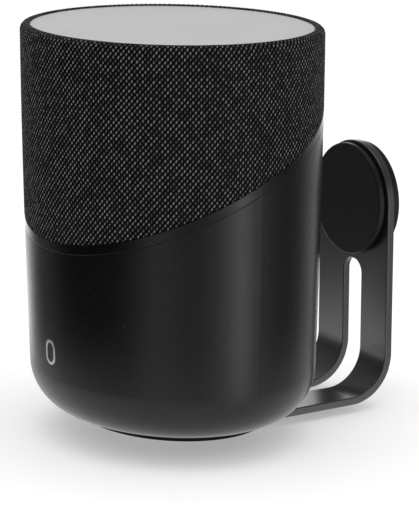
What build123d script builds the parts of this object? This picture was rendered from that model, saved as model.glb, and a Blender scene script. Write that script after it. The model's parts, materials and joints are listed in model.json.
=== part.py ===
"""Oval smart speaker standing on the slotted arm of a turning wall bracket.

The frame's origin is the centre of the wall disc's rear face. +Y points into the wall, so
the listener is at -Y, +Z is up and +X is the listener's right. All sizes are millimetres.
"""
from build123d import *
import math
import os

# ---------------------------------------------------------------- driving dimensions
# Speaker body: an oval column that draws in towards its foot
BODY_HEIGHT = 251.6
BODY_WIDTH = 207.8
BODY_DEPTH = 182.8
TAPER_SHARE = 0.0463
TAPER_POWER = 1.88
SHELL_BOTTOM = 4.5
CORNER_RISE = 31.0
CORNER_RUN = 27.0
CORNER_ANGLES = (0, 15, 30, 45, 60, 75, 90)

# Slanted joint between the lower shell, the trim ring and the grille
SLANT_DEG = 25.3
SHELL_EDGE_HEIGHT = 160.4
TRIM_HEIGHT = 6.6
SEAM_GAP = 0.3
TONGUE_REACH = 8.0
TONGUE_WALL = 2.0

# Walls
SHELL_WALL = 3.0
FLOOR_WALL = 3.0
FABRIC_WALL = 1.0
GRILLE_WALL = 2.5
SLIP_GAP = 0.2

# Rim and touch top
RIM_RADIUS = 4.0
PANEL_INSET = 6.2
PANEL_SINK = 1.0
PANEL_THICK = 2.5
LIP_THICK = 2.4
LIP_WIDTH = 3.0
TOUCH_BOARD_THICK = 1.6
CARRIER_THICK = 4.0
CARRIER_RIM = 6.0
LIGHT_BAR_LENGTH = 34.0
LIGHT_BAR_WIDTH = 4.0
LIGHT_BAR_FROM_EDGE = 14.0
MICROPHONE_RADIUS = 2.5
MICROPHONE_HEIGHT = 1.2
MICROPHONE_COUNT = 4
MICROPHONE_START = 45.0

# Grille slots
SLOT_COUNT = 44
SLOT_WIDTH = 8.0
SLOT_RAIL = 9.0

# Badge
BADGE_WIDTH = 11.0
BADGE_HEIGHT = 16.0
BADGE_LINE = 1.7
BADGE_LEVEL = 52.4
BADGE_DEPTH = 0.6
BADGE_PROUD = 0.25
BADGE_GAP = 0.05

# Foot
FOOT_INSET = 30.0
FOOT_PAD_WIDTH = 14.0
FOOT_PAD_THICK = 2.0
FOOT_LIFT = 0.05
BASE_PLATE_THICK = 2.2
BASE_BOSS_RADIUS = 26.0
INSERT_RADIUS = 7.0
INSERT_TOP = 12.0
INSERT_BOSS_WALL = 3.5
BASE_SCREW_ANGLES = (60.0, 120.0, 240.0, 300.0)
BASE_SCREW_RADIUS = 1.5
BASE_SCREW_HEAD = 2.8
BASE_SCREW_HEAD_THICK = 1.4
BASE_SCREW_LENGTH = 11.0
BASE_SCREW_INSET = 17.0
BOSS_WALL = 2.5

# Inner deck and the posts that carry it
DECK_LEVEL = 98.0
DECK_THICK = 4.0
DECK_GAP = 0.6
POST_RADIUS = 4.5
POST_ANGLES = (35.0, 145.0, 215.0, 325.0)
POST_INSET = 9.0
DECK_SCREW_RADIUS = 1.5
DECK_SCREW_HEAD = 3.0
DECK_SCREW_HEAD_THICK = 2.0
DECK_SCREW_LENGTH = 12.0

# Acoustic box, baffle and its gasket
BOX_INSET = 16.0
BOX_WALL = 3.0
BAFFLE_OFFSET = 62.0
BAFFLE_THICK = 5.0
GASKET_THICK = 1.0
GASKET_WIDTH = 3.0

# Woofer
WOOFER_LEVEL = 162.0
WOOFER_RADIUS = 44.0
WOOFER_OPENING = 36.5
FLANGE_THICK = 2.5
BASKET_WALL = 1.5
BASKET_DEPTH = 22.0
BASKET_FOOT_RADIUS = 20.0
BASKET_WINDOWS = 6
BASKET_WINDOW_START = 30.0
CONE_RADIUS = 30.0
CONE_WALL = 0.8
COIL_RADIUS = 8.9
COIL_WALL = 0.8
COIL_LENGTH = 19.0
COIL_NECK = 9.0
COIL_GAP = 0.6
TOP_PLATE_THICK = 3.0
TOP_PLATE_RADIUS = 26.0
MAGNET_THICK = 10.0
MAGNET_RADIUS = 30.0
MAGNET_BORE = 14.0
YOKE_THICK = 4.0
SURROUND_WALL = 0.6
SURROUND_LIP = 2.2
DUST_CAP_RADIUS = 12.0
DUST_CAP_RISE = 4.0
SPIDER_RADIUS = 22.5
SPIDER_LEVEL = 14.0
SPIDER_THICK = 0.6
SPIDER_LEDGE = 2.0
WOOFER_GASKET = 0.8

# Tweeters
TWEETER_LEVEL = 224.0
TWEETER_SPREAD = 32.0
TWEETER_RADIUS = 15.0
TWEETER_FACE_THICK = 2.0
TWEETER_DOME = 7.0
TWEETER_DOME_RISE = 3.0
TWEETER_DOME_WALL = 0.4
TWEETER_DOME_GAP = 0.3
TWEETER_MOTOR_RADIUS = 11.0
TWEETER_MOTOR_DEPTH = 12.0
TWEETER_OPENING_GAP = 0.5

# Driver screws
DRIVER_SCREW_RADIUS = 1.2
DRIVER_SCREW_HEAD = 2.0
DRIVER_SCREW_HEAD_THICK = 1.2
DRIVER_SCREW_EDGE = 2.4
WOOFER_SCREW_COUNT = 4
WOOFER_SCREW_START = 45.0

# Boards in the lower shell
BOARD_THICK = 1.6
BOARD_WIDTH = 104.0
BOARD_DEPTH = 70.0
BOARD_SHIFT = -8.0
BOARD_CORNER = 5.0
POWER_BOARD_LEVEL = 20.0
AMPLIFIER_LEVEL = 66.0
STANDOFF_RADIUS = 3.0
TRANSFORMER_SIZE = (34.0, 30.0, 24.0)
CAPACITOR_RADIUS = 8.0
CAPACITOR_HEIGHT = 26.0
CAPACITOR_PITCH = 19.0
CAPACITOR_COUNT = 3
HEAT_SINK_SIZE = (60.0, 34.0, 18.0)
HEAT_SINK_BASE = 3.0
HEAT_SINK_FIN = 1.6
HEAT_SINK_FINS = 9
COIL_CAN_SIZE = (12.0, 12.0, 8.0)
COIL_CAN_PITCH = 18.0
COIL_CAN_COUNT = 4
WIRELESS_SIZE = (22.0, 30.0, 3.0)
ANTENNA_SIZE = (36.0, 0.8, 9.0)
ANTENNA_LEVEL = 84.0
ANTENNA_INSET = 12.0

# Connector panel at the rear
PANEL_WIDTH = 74.0
PANEL_LOW = 17.0
PANEL_HIGH = 63.0
PANEL_FLOOR_OFFSET = 78.0
PANEL_WALL = 2.0
PANEL_GAP = 0.2
IO_BOARD_OFFSET = 58.0
IO_BOARD_MARGIN = 3.0
SOCKET_GAP = 0.2
INLET_SIZE = (22.0, 13.0)
INLET_CAVITY = (16.2, 8.7)
INLET_PIN_RADIUS = 1.15
INLET_PIN_PITCH = 8.6
INLET_PIN_REACH = 9.0
INLET_DEPTH = 12.0
INLET_PLACE = (-21.0, 46.0)
NETWORK_SIZE = (16.0, 14.0)
NETWORK_CAVITY = (11.8, 8.4)
NETWORK_DEPTH = 12.5
NETWORK_PLACE = (6.0, 46.0)
USB_SIZE = (10.6, 5.0)
USB_CAVITY = (8.6, 2.9)
USB_TONGUE = (6.2, 0.7)
USB_TONGUE_REACH = 5.5
USB_DEPTH = 6.5
USB_PLACE = (25.0, 46.0)
AUDIO_RADIUS = 4.0
AUDIO_BORE = 1.8
AUDIO_DEPTH = 14.0
AUDIO_PLACE = (-14.0, 28.0)
BUTTON_RADIUS = 2.6
BUTTON_GAP = 0.15
BUTTON_PROUD = 0.6
BUTTON_TRAVEL = 0.8
BUTTON_PLACE = (14.0, 28.0)
SWITCH_SIZE = (6.0, 6.0, 4.0)
PANEL_SCREW_PLACES = ((-31.0, 24.0), (31.0, 24.0))
PANEL_SCREW_RADIUS = 1.3
PANEL_SCREW_HEAD = 2.4
PANEL_SCREW_HEAD_THICK = 1.4
WIRE_RADIUS = 1.2
WIRE_BEND = 6.0
RIBBON_WIDTH = 14.0
RIBBON_THICK = 0.5
RIBBON_INSET = 10.5

# Wall bracket
WALL_DISC_RADIUS = 37.2
WALL_DISC_THICK = 4.7
CLAMP_DISC_THICK = 4.0
DISC_EDGE = 0.8
BRACKET_WIDTH = 77.5
BRACKET_THICK = 5.2
BRACKET_EDGE = 0.8
BRACKET_LONG_EDGE = 1.3
BRACKET_BEND = 31.0
BRACKET_SLOT_WIDTH = 19.6
BRACKET_SLOT_END = 9.0
BRACKET_SLOT_TOP = 83.8
BRACKET_SLOT_FRONT = 68.0
DISC_LEVEL = 125.2
AXIS_TO_WALL = 152.3
PLAY = 0.05
WASHER_THICK = 1.45
WASHER_RADIUS = 30.0
HUB_RADIUS = 11.95
HUB_BORE = 8.4
CLAMP_BOSS_RADIUS = 8.0
STUD_RADIUS = 4.0
STUD_FLANGE_RADIUS = 7.8
STUD_FLANGE_THICK = 1.2
STUD_ROOT = 1.2
WALL_HOLE_CIRCLE = 52.0
WALL_HOLE_COUNT = 4
WALL_HOLE_START = 45.0
WALL_HOLE_RADIUS = 2.6
WALL_HOLE_HEAD = 4.8
ARM_HOLE_PLAY = 0.4
THUMB_SHANK_RADIUS = 3.1
THUMB_HEAD_RADIUS = 11.0
THUMB_HEAD_THICK = 5.0
THUMB_KNURLS = 18
THUMB_KNURL_RADIUS = 1.1
THUMB_SLOT = (14.0, 1.8, 1.6)

# ---------------------------------------------------------------- places that follow
FOOT_LEVEL = -DISC_LEVEL
AXIS_Y = -AXIS_TO_WALL
SLOPE = math.tan(math.radians(SLANT_DEG))
GRILLE_EDGE_HEIGHT = SHELL_EDGE_HEIGHT + TRIM_HEIGHT
FRAME_INSET = FABRIC_WALL + SLIP_GAP / 2
FRAME_INNER = FRAME_INSET + GRILLE_WALL
TONGUE_INSET = max(SHELL_WALL, FRAME_INNER) + SLIP_GAP
PANEL_TOP = BODY_HEIGHT - PANEL_SINK
PANEL_UNDER = PANEL_TOP - PANEL_THICK
LIP_UNDER = PANEL_UNDER - LIP_THICK
LIP_INSET = PANEL_INSET + LIP_WIDTH
CARRIER_TOP = PANEL_UNDER - TOUCH_BOARD_THICK
BOX_TOP = CARRIER_TOP - CARRIER_THICK
BOX_BOTTOM = DECK_LEVEL + DECK_THICK
BAFFLE_BACK = BAFFLE_OFFSET - BAFFLE_THICK
BOX_FRONT = BAFFLE_BACK - GASKET_THICK
FLOOR_TOP = SHELL_BOTTOM + FLOOR_WALL
FLANGE_BACK = WOOFER_GASKET
FLANGE_FRONT = WOOFER_GASKET + FLANGE_THICK
POLE_RADIUS = COIL_RADIUS - COIL_WALL - COIL_GAP
PLATE_BORE = COIL_RADIUS + COIL_GAP
THUMB_BORE = THUMB_SHANK_RADIUS + PLAY
ARM_HOLE_RADIUS = THUMB_SHANK_RADIUS + ARM_HOLE_PLAY
PLATE_REAR = -WALL_DISC_THICK - PLAY
PLATE_FRONT = PLATE_REAR - BRACKET_THICK
WASHER_FRONT = PLATE_FRONT - PLAY - WASHER_THICK
CLAMP_REAR = WASHER_FRONT - PLAY
CLAMP_FRONT = CLAMP_REAR - CLAMP_DISC_THICK


# ---------------------------------------------------------------- shared forms
def level(height):
    """Horizontal plane on the speaker's own axis, at a height above its foot."""
    return Plane(origin=(0, AXIS_Y, FOOT_LEVEL + height), z_dir=(0, 0, 1))


def slant(height):
    """Slanted plane that crosses the speaker's axis at a height, low at the front."""
    return Plane(origin=(0, AXIS_Y, FOOT_LEVEL + height), z_dir=(0, -SLOPE, 1))


def front_plane(offset, across=0.0, height=0.0):
    """Upright plane ahead of the speaker's axis that faces the listener."""
    place = (across, AXIS_Y - offset, FOOT_LEVEL + height)
    return Plane(origin=place, x_dir=(1, 0, 0), z_dir=(0, -1, 0))


def rear_plane(offset, across=0.0, height=0.0):
    """Upright plane behind the speaker's axis that faces the wall."""
    place = (across, AXIS_Y + offset, FOOT_LEVEL + height)
    return Plane(origin=place, x_dir=(-1, 0, 0), z_dir=(0, 1, 0))


def wall_plane(y):
    """Upright plane of the bracket at a distance from the wall, facing the listener."""
    return Plane(origin=(0, y, 0), x_dir=(1, 0, 0), z_dir=(0, -1, 0))


def section_of(face):
    """Plane that cuts a facing plane through its axis: x is radius, y is reach."""
    return Plane(origin=face.origin, x_dir=face.x_dir, z_dir=-face.y_dir)


def taper(height):
    """Share of the full plan size that the body has at a height."""
    drop = max(0.0, BODY_HEIGHT - height) / BODY_HEIGHT
    return 1 - TAPER_SHARE * drop**TAPER_POWER


def semi_axes(height, inset):
    """Half width and half depth of the body's oval at a height, drawn in by an inset."""
    across = BODY_WIDTH / 2 * taper(height) - inset
    deep = BODY_DEPTH / 2 * taper(height) - inset
    return across, deep


def stations(bottom, top, count=4):
    """Evenly spaced heights from bottom to top."""
    return [bottom + (top - bottom) * i / (count - 1) for i in range(count)]


def oval(height, inset):
    """Draw the body's oval at a height, drawn in by an inset."""
    with BuildSketch(level(height)) as outline:
        Ellipse(*semi_axes(height, inset))
    return outline.sketch


def oval_column(bottom, top, inset, mode=Mode.ADD):
    """Add the body's oval form between two heights, drawn in by an inset."""
    sections = [oval(height, inset) for height in stations(bottom, top)]
    loft(sections, mode=mode)


def footed_column(top, inset, bottom, mode=Mode.ADD):
    """Add the oval form from its rounded bottom corner up, drawn in by an inset."""
    rise = CORNER_RISE - (bottom - SHELL_BOTTOM)
    run = CORNER_RUN - inset
    corner = []
    for angle in CORNER_ANGLES:
        turn = math.radians(angle)
        height = bottom + rise * (1 - math.cos(turn))
        corner.append(oval(height, inset + run * (1 - math.sin(turn))))
    loft(corner, mode=mode)
    oval_column(bottom + rise, top, inset, mode)


def keep_between(low, high):
    """Keep what lies between two slanted planes."""
    split(bisect_by=slant(low), keep=Keep.TOP)
    split(bisect_by=slant(high), keep=Keep.BOTTOM)


def turned(face, points, mode=Mode.ADD):
    """Turn an outline of (radius, reach) points about a facing plane's axis."""
    with BuildSketch(section_of(face)) as outline:
        with BuildLine():
            Polyline(*points, close=True)
        make_face()
    revolve(outline.sketch, axis=Axis(face.origin, face.z_dir), mode=mode)


def domed(face, radius, seat, rise, wall):
    """Add a thin dome of a base radius and a rise, seated ahead of a facing plane."""
    ball = (radius**2 + rise**2) / (2 * rise)
    with BuildSketch(section_of(face)) as outline:
        with Locations((0, seat + rise - ball)):
            Circle(ball)
            Circle(ball - wall, mode=Mode.SUBTRACT)
        with Locations((0, seat - 2 * ball)):
            Rectangle(4 * ball, 4 * ball, mode=Mode.SUBTRACT)
        with Locations((-2 * ball, 0)):
            Rectangle(4 * ball, 8 * ball, mode=Mode.SUBTRACT)
    revolve(outline.sketch, axis=Axis(face.origin, face.z_dir))


def disc(face, radius, reach, mode=Mode.ADD):
    """Extrude a round disc from a facing plane."""
    with BuildSketch(face) as outline:
        Circle(radius)
    extrude(outline.sketch, amount=reach, mode=mode)


def block(face, width, height, reach, mode=Mode.ADD):
    """Extrude a rectangle from a facing plane."""
    with BuildSketch(face) as outline:
        Rectangle(width, height)
    extrude(outline.sketch, amount=reach, mode=mode)


def screw(face, radius, length, head_radius, head_thick):
    """Add a pan-head screw whose head sits on a facing plane and whose shank goes in."""
    disc(face, head_radius, head_thick)
    disc(face, radius, -length)


def save(piece, name):
    """Label a finished piece and write it as its own STEP file."""
    piece.part.label = name
    export_step(piece.part, f"parts/{name}.step")


def oval_places(across, deep, angles):
    """Places on an oval at given angles in degrees."""
    turns = [math.radians(angle) for angle in angles]
    return [(across * math.cos(turn), deep * math.sin(turn)) for turn in turns]


def around(count, start=0.0):
    """Evenly spaced angles in a full turn, in radians."""
    return [math.radians(start + 360.0 * i / count) for i in range(count)]


os.makedirs("parts", exist_ok=True)

# ---------------------------------------------------------------- foot and lower shell
FOOT_A, FOOT_B = semi_axes(0, FOOT_INSET)
BASE_SCREW_PLACES = oval_places(
    FOOT_A - BASE_SCREW_INSET, FOOT_B - BASE_SCREW_INSET, BASE_SCREW_ANGLES
)
POST_PLACES = oval_places(*semi_axes(DECK_LEVEL, POST_INSET), POST_ANGLES)
BASE_SCREW_UNDER = FOOT_LIFT + FOOT_PAD_THICK
INSERT_BOSS_RADIUS = INSERT_RADIUS + INSERT_BOSS_WALL

with BuildPart() as foot_pad:
    with BuildSketch(level(FOOT_LIFT)):
        Ellipse(FOOT_A, FOOT_B)
        Ellipse(FOOT_A - FOOT_PAD_WIDTH, FOOT_B - FOOT_PAD_WIDTH, mode=Mode.SUBTRACT)
    extrude(amount=FOOT_PAD_THICK)
save(foot_pad, "foot_pad")

with BuildPart() as base_plate:
    with BuildSketch(level(FOOT_LIFT + FOOT_PAD_THICK)):
        Ellipse(FOOT_A, FOOT_B)
    extrude(amount=BASE_PLATE_THICK)
    disc(level(FOOT_LIFT), BASE_BOSS_RADIUS, FOOT_PAD_THICK + BASE_PLATE_THICK)
    disc(level(FOOT_LIFT), INSERT_BOSS_RADIUS, INSERT_TOP - FOOT_LIFT)
    disc(level(FOOT_LIFT), INSERT_RADIUS + PLAY / 5, INSERT_TOP - FOOT_LIFT, Mode.SUBTRACT)
    with Locations(level(BASE_SCREW_UNDER)):
        with Locations(*BASE_SCREW_PLACES):
            Hole(BASE_SCREW_RADIUS + SLIP_GAP)
save(base_plate, "base_plate")

with BuildPart() as threaded_insert:
    disc(level(FOOT_LIFT), INSERT_RADIUS, INSERT_TOP - FOOT_LIFT)
    disc(level(FOOT_LIFT), THUMB_BORE, INSERT_TOP - FOOT_LIFT, Mode.SUBTRACT)
save(threaded_insert, "threaded_insert")

with BuildPart() as base_screws:
    for across, deep in BASE_SCREW_PLACES:
        head = Plane(
            origin=(across, AXIS_Y + deep, FOOT_LEVEL + BASE_SCREW_UNDER), z_dir=(0, 0, -1)
        )
        screw(head, BASE_SCREW_RADIUS, BASE_SCREW_LENGTH, BASE_SCREW_HEAD, BASE_SCREW_HEAD_THICK)
save(base_screws, "base_screws")

SHELL_TOP = SHELL_EDGE_HEIGHT + SLOPE * BODY_DEPTH / 2 + TONGUE_REACH

with BuildPart() as shell_space:
    footed_column(SHELL_TOP, SHELL_WALL, FLOOR_TOP)

with BuildPart() as shell_form:
    footed_column(SHELL_TOP, 0.0, SHELL_BOTTOM)

with BuildPart() as deck_posts:
    for across, deep in POST_PLACES:
        post = Plane(origin=(across, AXIS_Y + deep, FOOT_LEVEL + SHELL_BOTTOM))
        disc(post, POST_RADIUS, DECK_LEVEL - SHELL_BOTTOM)
    add(shell_form.part, mode=Mode.INTERSECT)

with BuildPart() as badge_pocket_floor:
    oval_column(BADGE_LEVEL - BADGE_HEIGHT, BADGE_LEVEL + BADGE_HEIGHT, BADGE_DEPTH)


def badge_column(grow):
    """Add the badge's upright pill ring, grown by a clearance, right through the front."""
    with BuildSketch(front_plane(0.0, 0.0, BADGE_LEVEL)) as outline:
        SlotOverall(BADGE_HEIGHT + 2 * grow, BADGE_WIDTH + 2 * grow, rotation=90)
        inner = BADGE_LINE + grow
        SlotOverall(BADGE_HEIGHT - 2 * inner, BADGE_WIDTH - 2 * inner, rotation=90,
                    mode=Mode.SUBTRACT)
    extrude(outline.sketch, amount=BODY_DEPTH)


with BuildPart() as badge_pocket:
    badge_column(BADGE_GAP)
    add(badge_pocket_floor.part, mode=Mode.SUBTRACT)

PANEL_MIDDLE = (PANEL_LOW + PANEL_HIGH) / 2
PANEL_TALL = PANEL_HIGH - PANEL_LOW

with BuildPart() as lower_shell:
    add(shell_form.part)
    add(shell_space.part, mode=Mode.SUBTRACT)
    split(bisect_by=slant(SHELL_EDGE_HEIGHT), keep=Keep.BOTTOM)
    add(deck_posts.part)
    for across, deep in BASE_SCREW_PLACES:
        foot = Plane(origin=(across, AXIS_Y + deep, FOOT_LEVEL + SHELL_BOTTOM))
        disc(foot, BASE_SCREW_RADIUS + BOSS_WALL, BASE_SCREW_LENGTH)
        disc(foot, BASE_SCREW_RADIUS + PLAY, BASE_SCREW_LENGTH, Mode.SUBTRACT)
    for across, deep in POST_PLACES:
        post_top = Plane(origin=(across, AXIS_Y + deep, FOOT_LEVEL + DECK_LEVEL))
        disc(post_top, DECK_SCREW_RADIUS + PLAY, -DECK_SCREW_LENGTH, Mode.SUBTRACT)
    disc(level(SHELL_BOTTOM), INSERT_BOSS_RADIUS + SLIP_GAP, FLOOR_WALL, Mode.SUBTRACT)
    window = rear_plane(PANEL_FLOOR_OFFSET - PANEL_WALL - PANEL_GAP, 0.0, PANEL_MIDDLE)
    block(window, PANEL_WIDTH + 2 * PANEL_GAP, PANEL_TALL + 2 * PANEL_GAP, BODY_DEPTH,
          Mode.SUBTRACT)
    add(badge_pocket.part, mode=Mode.SUBTRACT)
save(lower_shell, "lower_shell")

with BuildPart() as badge:
    badge_column(0.0)
    oval_column(BADGE_LEVEL - BADGE_HEIGHT, BADGE_LEVEL + BADGE_HEIGHT, -BADGE_PROUD,
                Mode.INTERSECT)
    oval_column(BADGE_LEVEL - BADGE_HEIGHT, BADGE_LEVEL + BADGE_HEIGHT, BADGE_DEPTH - PLAY,
                Mode.SUBTRACT)
save(badge, "badge")

# ---------------------------------------------------------------- trim ring and grille
TRIM_LOW = GRILLE_EDGE_HEIGHT - SLOPE * BODY_DEPTH / 2 - 3 * TONGUE_REACH
TRIM_TOP = GRILLE_EDGE_HEIGHT + SLOPE * BODY_DEPTH / 2 + 2 * TONGUE_REACH

with BuildPart() as trim_tongue:
    oval_column(TRIM_LOW, TRIM_TOP, TONGUE_INSET)
    oval_column(TRIM_LOW, TRIM_TOP, TONGUE_INSET + TONGUE_WALL, Mode.SUBTRACT)
    keep_between(SHELL_EDGE_HEIGHT - TONGUE_REACH, GRILLE_EDGE_HEIGHT + TONGUE_REACH)

with BuildPart() as trim_ring:
    oval_column(TRIM_LOW, TRIM_TOP, 0.0)
    oval_column(TRIM_LOW, TRIM_TOP, TONGUE_INSET + TONGUE_WALL, Mode.SUBTRACT)
    keep_between(SHELL_EDGE_HEIGHT + SEAM_GAP, GRILLE_EDGE_HEIGHT - SEAM_GAP)
    add(trim_tongue.part)
save(trim_ring, "trim_ring")

with BuildPart() as grille_slots:
    with BuildSketch(level(TRIM_LOW)):
        for angle in around(SLOT_COUNT, 180 / SLOT_COUNT):
            reach = BODY_WIDTH / 2
            with Locations((reach / 2 * math.cos(angle), reach / 2 * math.sin(angle))):
                Rectangle(reach, SLOT_WIDTH, rotation=math.degrees(angle))
        Circle(BODY_DEPTH / 2 - 2 * TONGUE_INSET, mode=Mode.SUBTRACT)
    extrude(amount=LIP_UNDER - SLOT_RAIL / 2 - TRIM_LOW)
    split(bisect_by=slant(GRILLE_EDGE_HEIGHT + TONGUE_REACH + SLOT_RAIL / 2), keep=Keep.TOP)

FRAME_TOP = BODY_HEIGHT - FABRIC_WALL - SLIP_GAP / 2

with BuildPart() as grille_frame:
    oval_column(TRIM_LOW, FRAME_TOP, FRAME_INSET)
    fillet(grille_frame.faces().sort_by(Axis.Z)[-1].edges(), RIM_RADIUS - FRAME_INSET)
    oval_column(TRIM_LOW, LIP_UNDER, FRAME_INNER, Mode.SUBTRACT)
    oval_column(LIP_UNDER, FRAME_TOP, LIP_INSET, Mode.SUBTRACT)
    oval_column(PANEL_UNDER, BODY_HEIGHT, PANEL_INSET - SLIP_GAP, Mode.SUBTRACT)
    split(bisect_by=slant(GRILLE_EDGE_HEIGHT + SEAM_GAP / 2), keep=Keep.TOP)
    add(grille_slots.part, mode=Mode.SUBTRACT)
save(grille_frame, "grille_frame")

with BuildPart() as fabric_space:
    oval_column(TRIM_LOW, BODY_HEIGHT - FABRIC_WALL, FABRIC_WALL)
    fillet(fabric_space.faces().sort_by(Axis.Z)[-1].edges(), RIM_RADIUS - FABRIC_WALL)

with BuildPart() as grille_fabric:
    oval_column(TRIM_LOW, BODY_HEIGHT, 0.0)
    fillet(grille_fabric.faces().sort_by(Axis.Z)[-1].edges(), RIM_RADIUS)
    add(fabric_space.part, mode=Mode.SUBTRACT)
    oval_column(PANEL_UNDER, BODY_HEIGHT + FABRIC_WALL, PANEL_INSET - SLIP_GAP, Mode.SUBTRACT)
    split(bisect_by=slant(GRILLE_EDGE_HEIGHT), keep=Keep.TOP)
save(grille_fabric, "grille_fabric")

# ---------------------------------------------------------------- touch top
with BuildPart() as top_panel:
    oval_column(PANEL_UNDER + PLAY, PANEL_TOP, PANEL_INSET)
    fillet(top_panel.faces().sort_by(Axis.Z)[-1].edges(), SLIP_GAP * 2)
save(top_panel, "top_panel")

LIGHT_BAR_Y = -semi_axes(BODY_HEIGHT, LIP_INSET)[1] + LIGHT_BAR_FROM_EDGE

with BuildPart() as touch_board:
    oval_column(CARRIER_TOP, PANEL_UNDER, LIP_INSET + SLIP_GAP)
    with BuildSketch(level(CARRIER_TOP)):
        with Locations((0, LIGHT_BAR_Y)):
            RectangleRounded(LIGHT_BAR_LENGTH + SLIP_GAP, LIGHT_BAR_WIDTH + SLIP_GAP,
                             LIGHT_BAR_WIDTH / 2)
    extrude(amount=TOUCH_BOARD_THICK, mode=Mode.SUBTRACT)
save(touch_board, "touch_board")

with BuildPart() as light_guide:
    with BuildSketch(level(CARRIER_TOP)):
        with Locations((0, LIGHT_BAR_Y)):
            RectangleRounded(LIGHT_BAR_LENGTH, LIGHT_BAR_WIDTH, LIGHT_BAR_WIDTH / 2 - PLAY)
    extrude(amount=TOUCH_BOARD_THICK)
save(light_guide, "light_guide")

with BuildPart() as top_carrier:
    oval_column(BOX_TOP, CARRIER_TOP, LIP_INSET + SLIP_GAP)
    with BuildSketch(level(BOX_TOP)):
        across, deep = semi_axes(BODY_HEIGHT, LIP_INSET + CARRIER_RIM)
        Ellipse(across, deep)
        Rectangle(CARRIER_RIM, BODY_DEPTH, mode=Mode.SUBTRACT)
        Rectangle(BODY_WIDTH, CARRIER_RIM, mode=Mode.SUBTRACT)
    extrude(amount=CARRIER_THICK, mode=Mode.SUBTRACT)
save(top_carrier, "top_carrier")

MIC_A, MIC_B = semi_axes(BODY_HEIGHT, LIP_INSET + CARRIER_RIM + 2 * MICROPHONE_RADIUS)

with BuildPart() as microphones:
    for angle in around(MICROPHONE_COUNT, MICROPHONE_START):
        place = (MIC_A * math.cos(angle), AXIS_Y + MIC_B * math.sin(angle))
        can = Plane(origin=(place[0], place[1], FOOT_LEVEL + CARRIER_TOP), z_dir=(0, 0, -1))
        disc(can, MICROPHONE_RADIUS, MICROPHONE_HEIGHT)
save(microphones, "microphones")

# ---------------------------------------------------------------- deck and acoustic box
with BuildPart() as inner_deck:
    oval_column(DECK_LEVEL, BOX_BOTTOM, SHELL_WALL + DECK_GAP)
    with Locations(level(BOX_BOTTOM)):
        with Locations(*POST_PLACES):
            Hole(DECK_SCREW_RADIUS + SLIP_GAP)
    with BuildSketch(level(DECK_LEVEL)):
        with Locations((0, semi_axes(DECK_LEVEL, RIBBON_INSET)[1])):
            Rectangle(RIBBON_WIDTH + 4 * SLIP_GAP, RIBBON_THICK + 4 * SLIP_GAP)
    extrude(amount=DECK_THICK, mode=Mode.SUBTRACT)
save(inner_deck, "inner_deck")

with BuildPart() as deck_screws:
    for across, deep in POST_PLACES:
        seat = Plane(origin=(across, AXIS_Y + deep, FOOT_LEVEL + BOX_BOTTOM))
        screw(seat, DECK_SCREW_RADIUS, DECK_THICK + DECK_SCREW_LENGTH / 2, DECK_SCREW_HEAD,
              DECK_SCREW_HEAD_THICK)
save(deck_screws, "deck_screws")

BOX_A, BOX_B = semi_axes(BODY_HEIGHT, BOX_INSET)
BOX_TALL = BOX_TOP - BOX_BOTTOM


def front_slab(back, thick):
    """Keep the acoustic box's outline within a slab ahead of the speaker's axis."""
    split(bisect_by=front_plane(back), keep=Keep.TOP)
    split(bisect_by=front_plane(back + thick), keep=Keep.BOTTOM)


def box_outline(inset):
    """Extrude the acoustic box's oval, drawn in by an inset on every side."""
    with BuildSketch(level(BOX_BOTTOM + inset)) as outline:
        Ellipse(BOX_A - inset, BOX_B - inset)
    extrude(outline.sketch, amount=BOX_TALL - 2 * inset)


with BuildPart() as box_space:
    box_outline(BOX_WALL)

with BuildPart() as acoustic_box:
    box_outline(0.0)
    add(box_space.part, mode=Mode.SUBTRACT)
    split(bisect_by=front_plane(BOX_FRONT), keep=Keep.BOTTOM)
save(acoustic_box, "acoustic_box")

with BuildPart() as gasket_space:
    box_outline(GASKET_WIDTH)

with BuildPart() as baffle_gasket:
    box_outline(0.0)
    front_slab(BOX_FRONT, GASKET_THICK)
    add(gasket_space.part, mode=Mode.SUBTRACT)
save(baffle_gasket, "baffle_gasket")

woofer_face = front_plane(BAFFLE_OFFSET, 0.0, WOOFER_LEVEL)
tweeter_faces = {
    "left": front_plane(BAFFLE_OFFSET, -TWEETER_SPREAD, TWEETER_LEVEL),
    "right": front_plane(BAFFLE_OFFSET, TWEETER_SPREAD, TWEETER_LEVEL),
}
WOOFER_SCREW_CIRCLE = WOOFER_RADIUS - DRIVER_SCREW_EDGE
TWEETER_SCREW_REACH = TWEETER_RADIUS - DRIVER_SCREW_EDGE
TWEETER_OPENING = TWEETER_MOTOR_RADIUS + TWEETER_OPENING_GAP


def moved(face, across, up, forward=0.0):
    """Facing plane shifted across, up and forward within its own directions."""
    origin = face.origin + face.x_dir * across + face.y_dir * up + face.z_dir * forward
    return Plane(origin=origin, x_dir=face.x_dir, z_dir=face.z_dir)


WOOFER_SCREW_PLACES = [
    (WOOFER_SCREW_CIRCLE * math.cos(a), WOOFER_SCREW_CIRCLE * math.sin(a))
    for a in around(WOOFER_SCREW_COUNT, WOOFER_SCREW_START)
]
TWEETER_SCREW_PLACES = [(0.0, TWEETER_SCREW_REACH), (0.0, -TWEETER_SCREW_REACH)]

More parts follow.
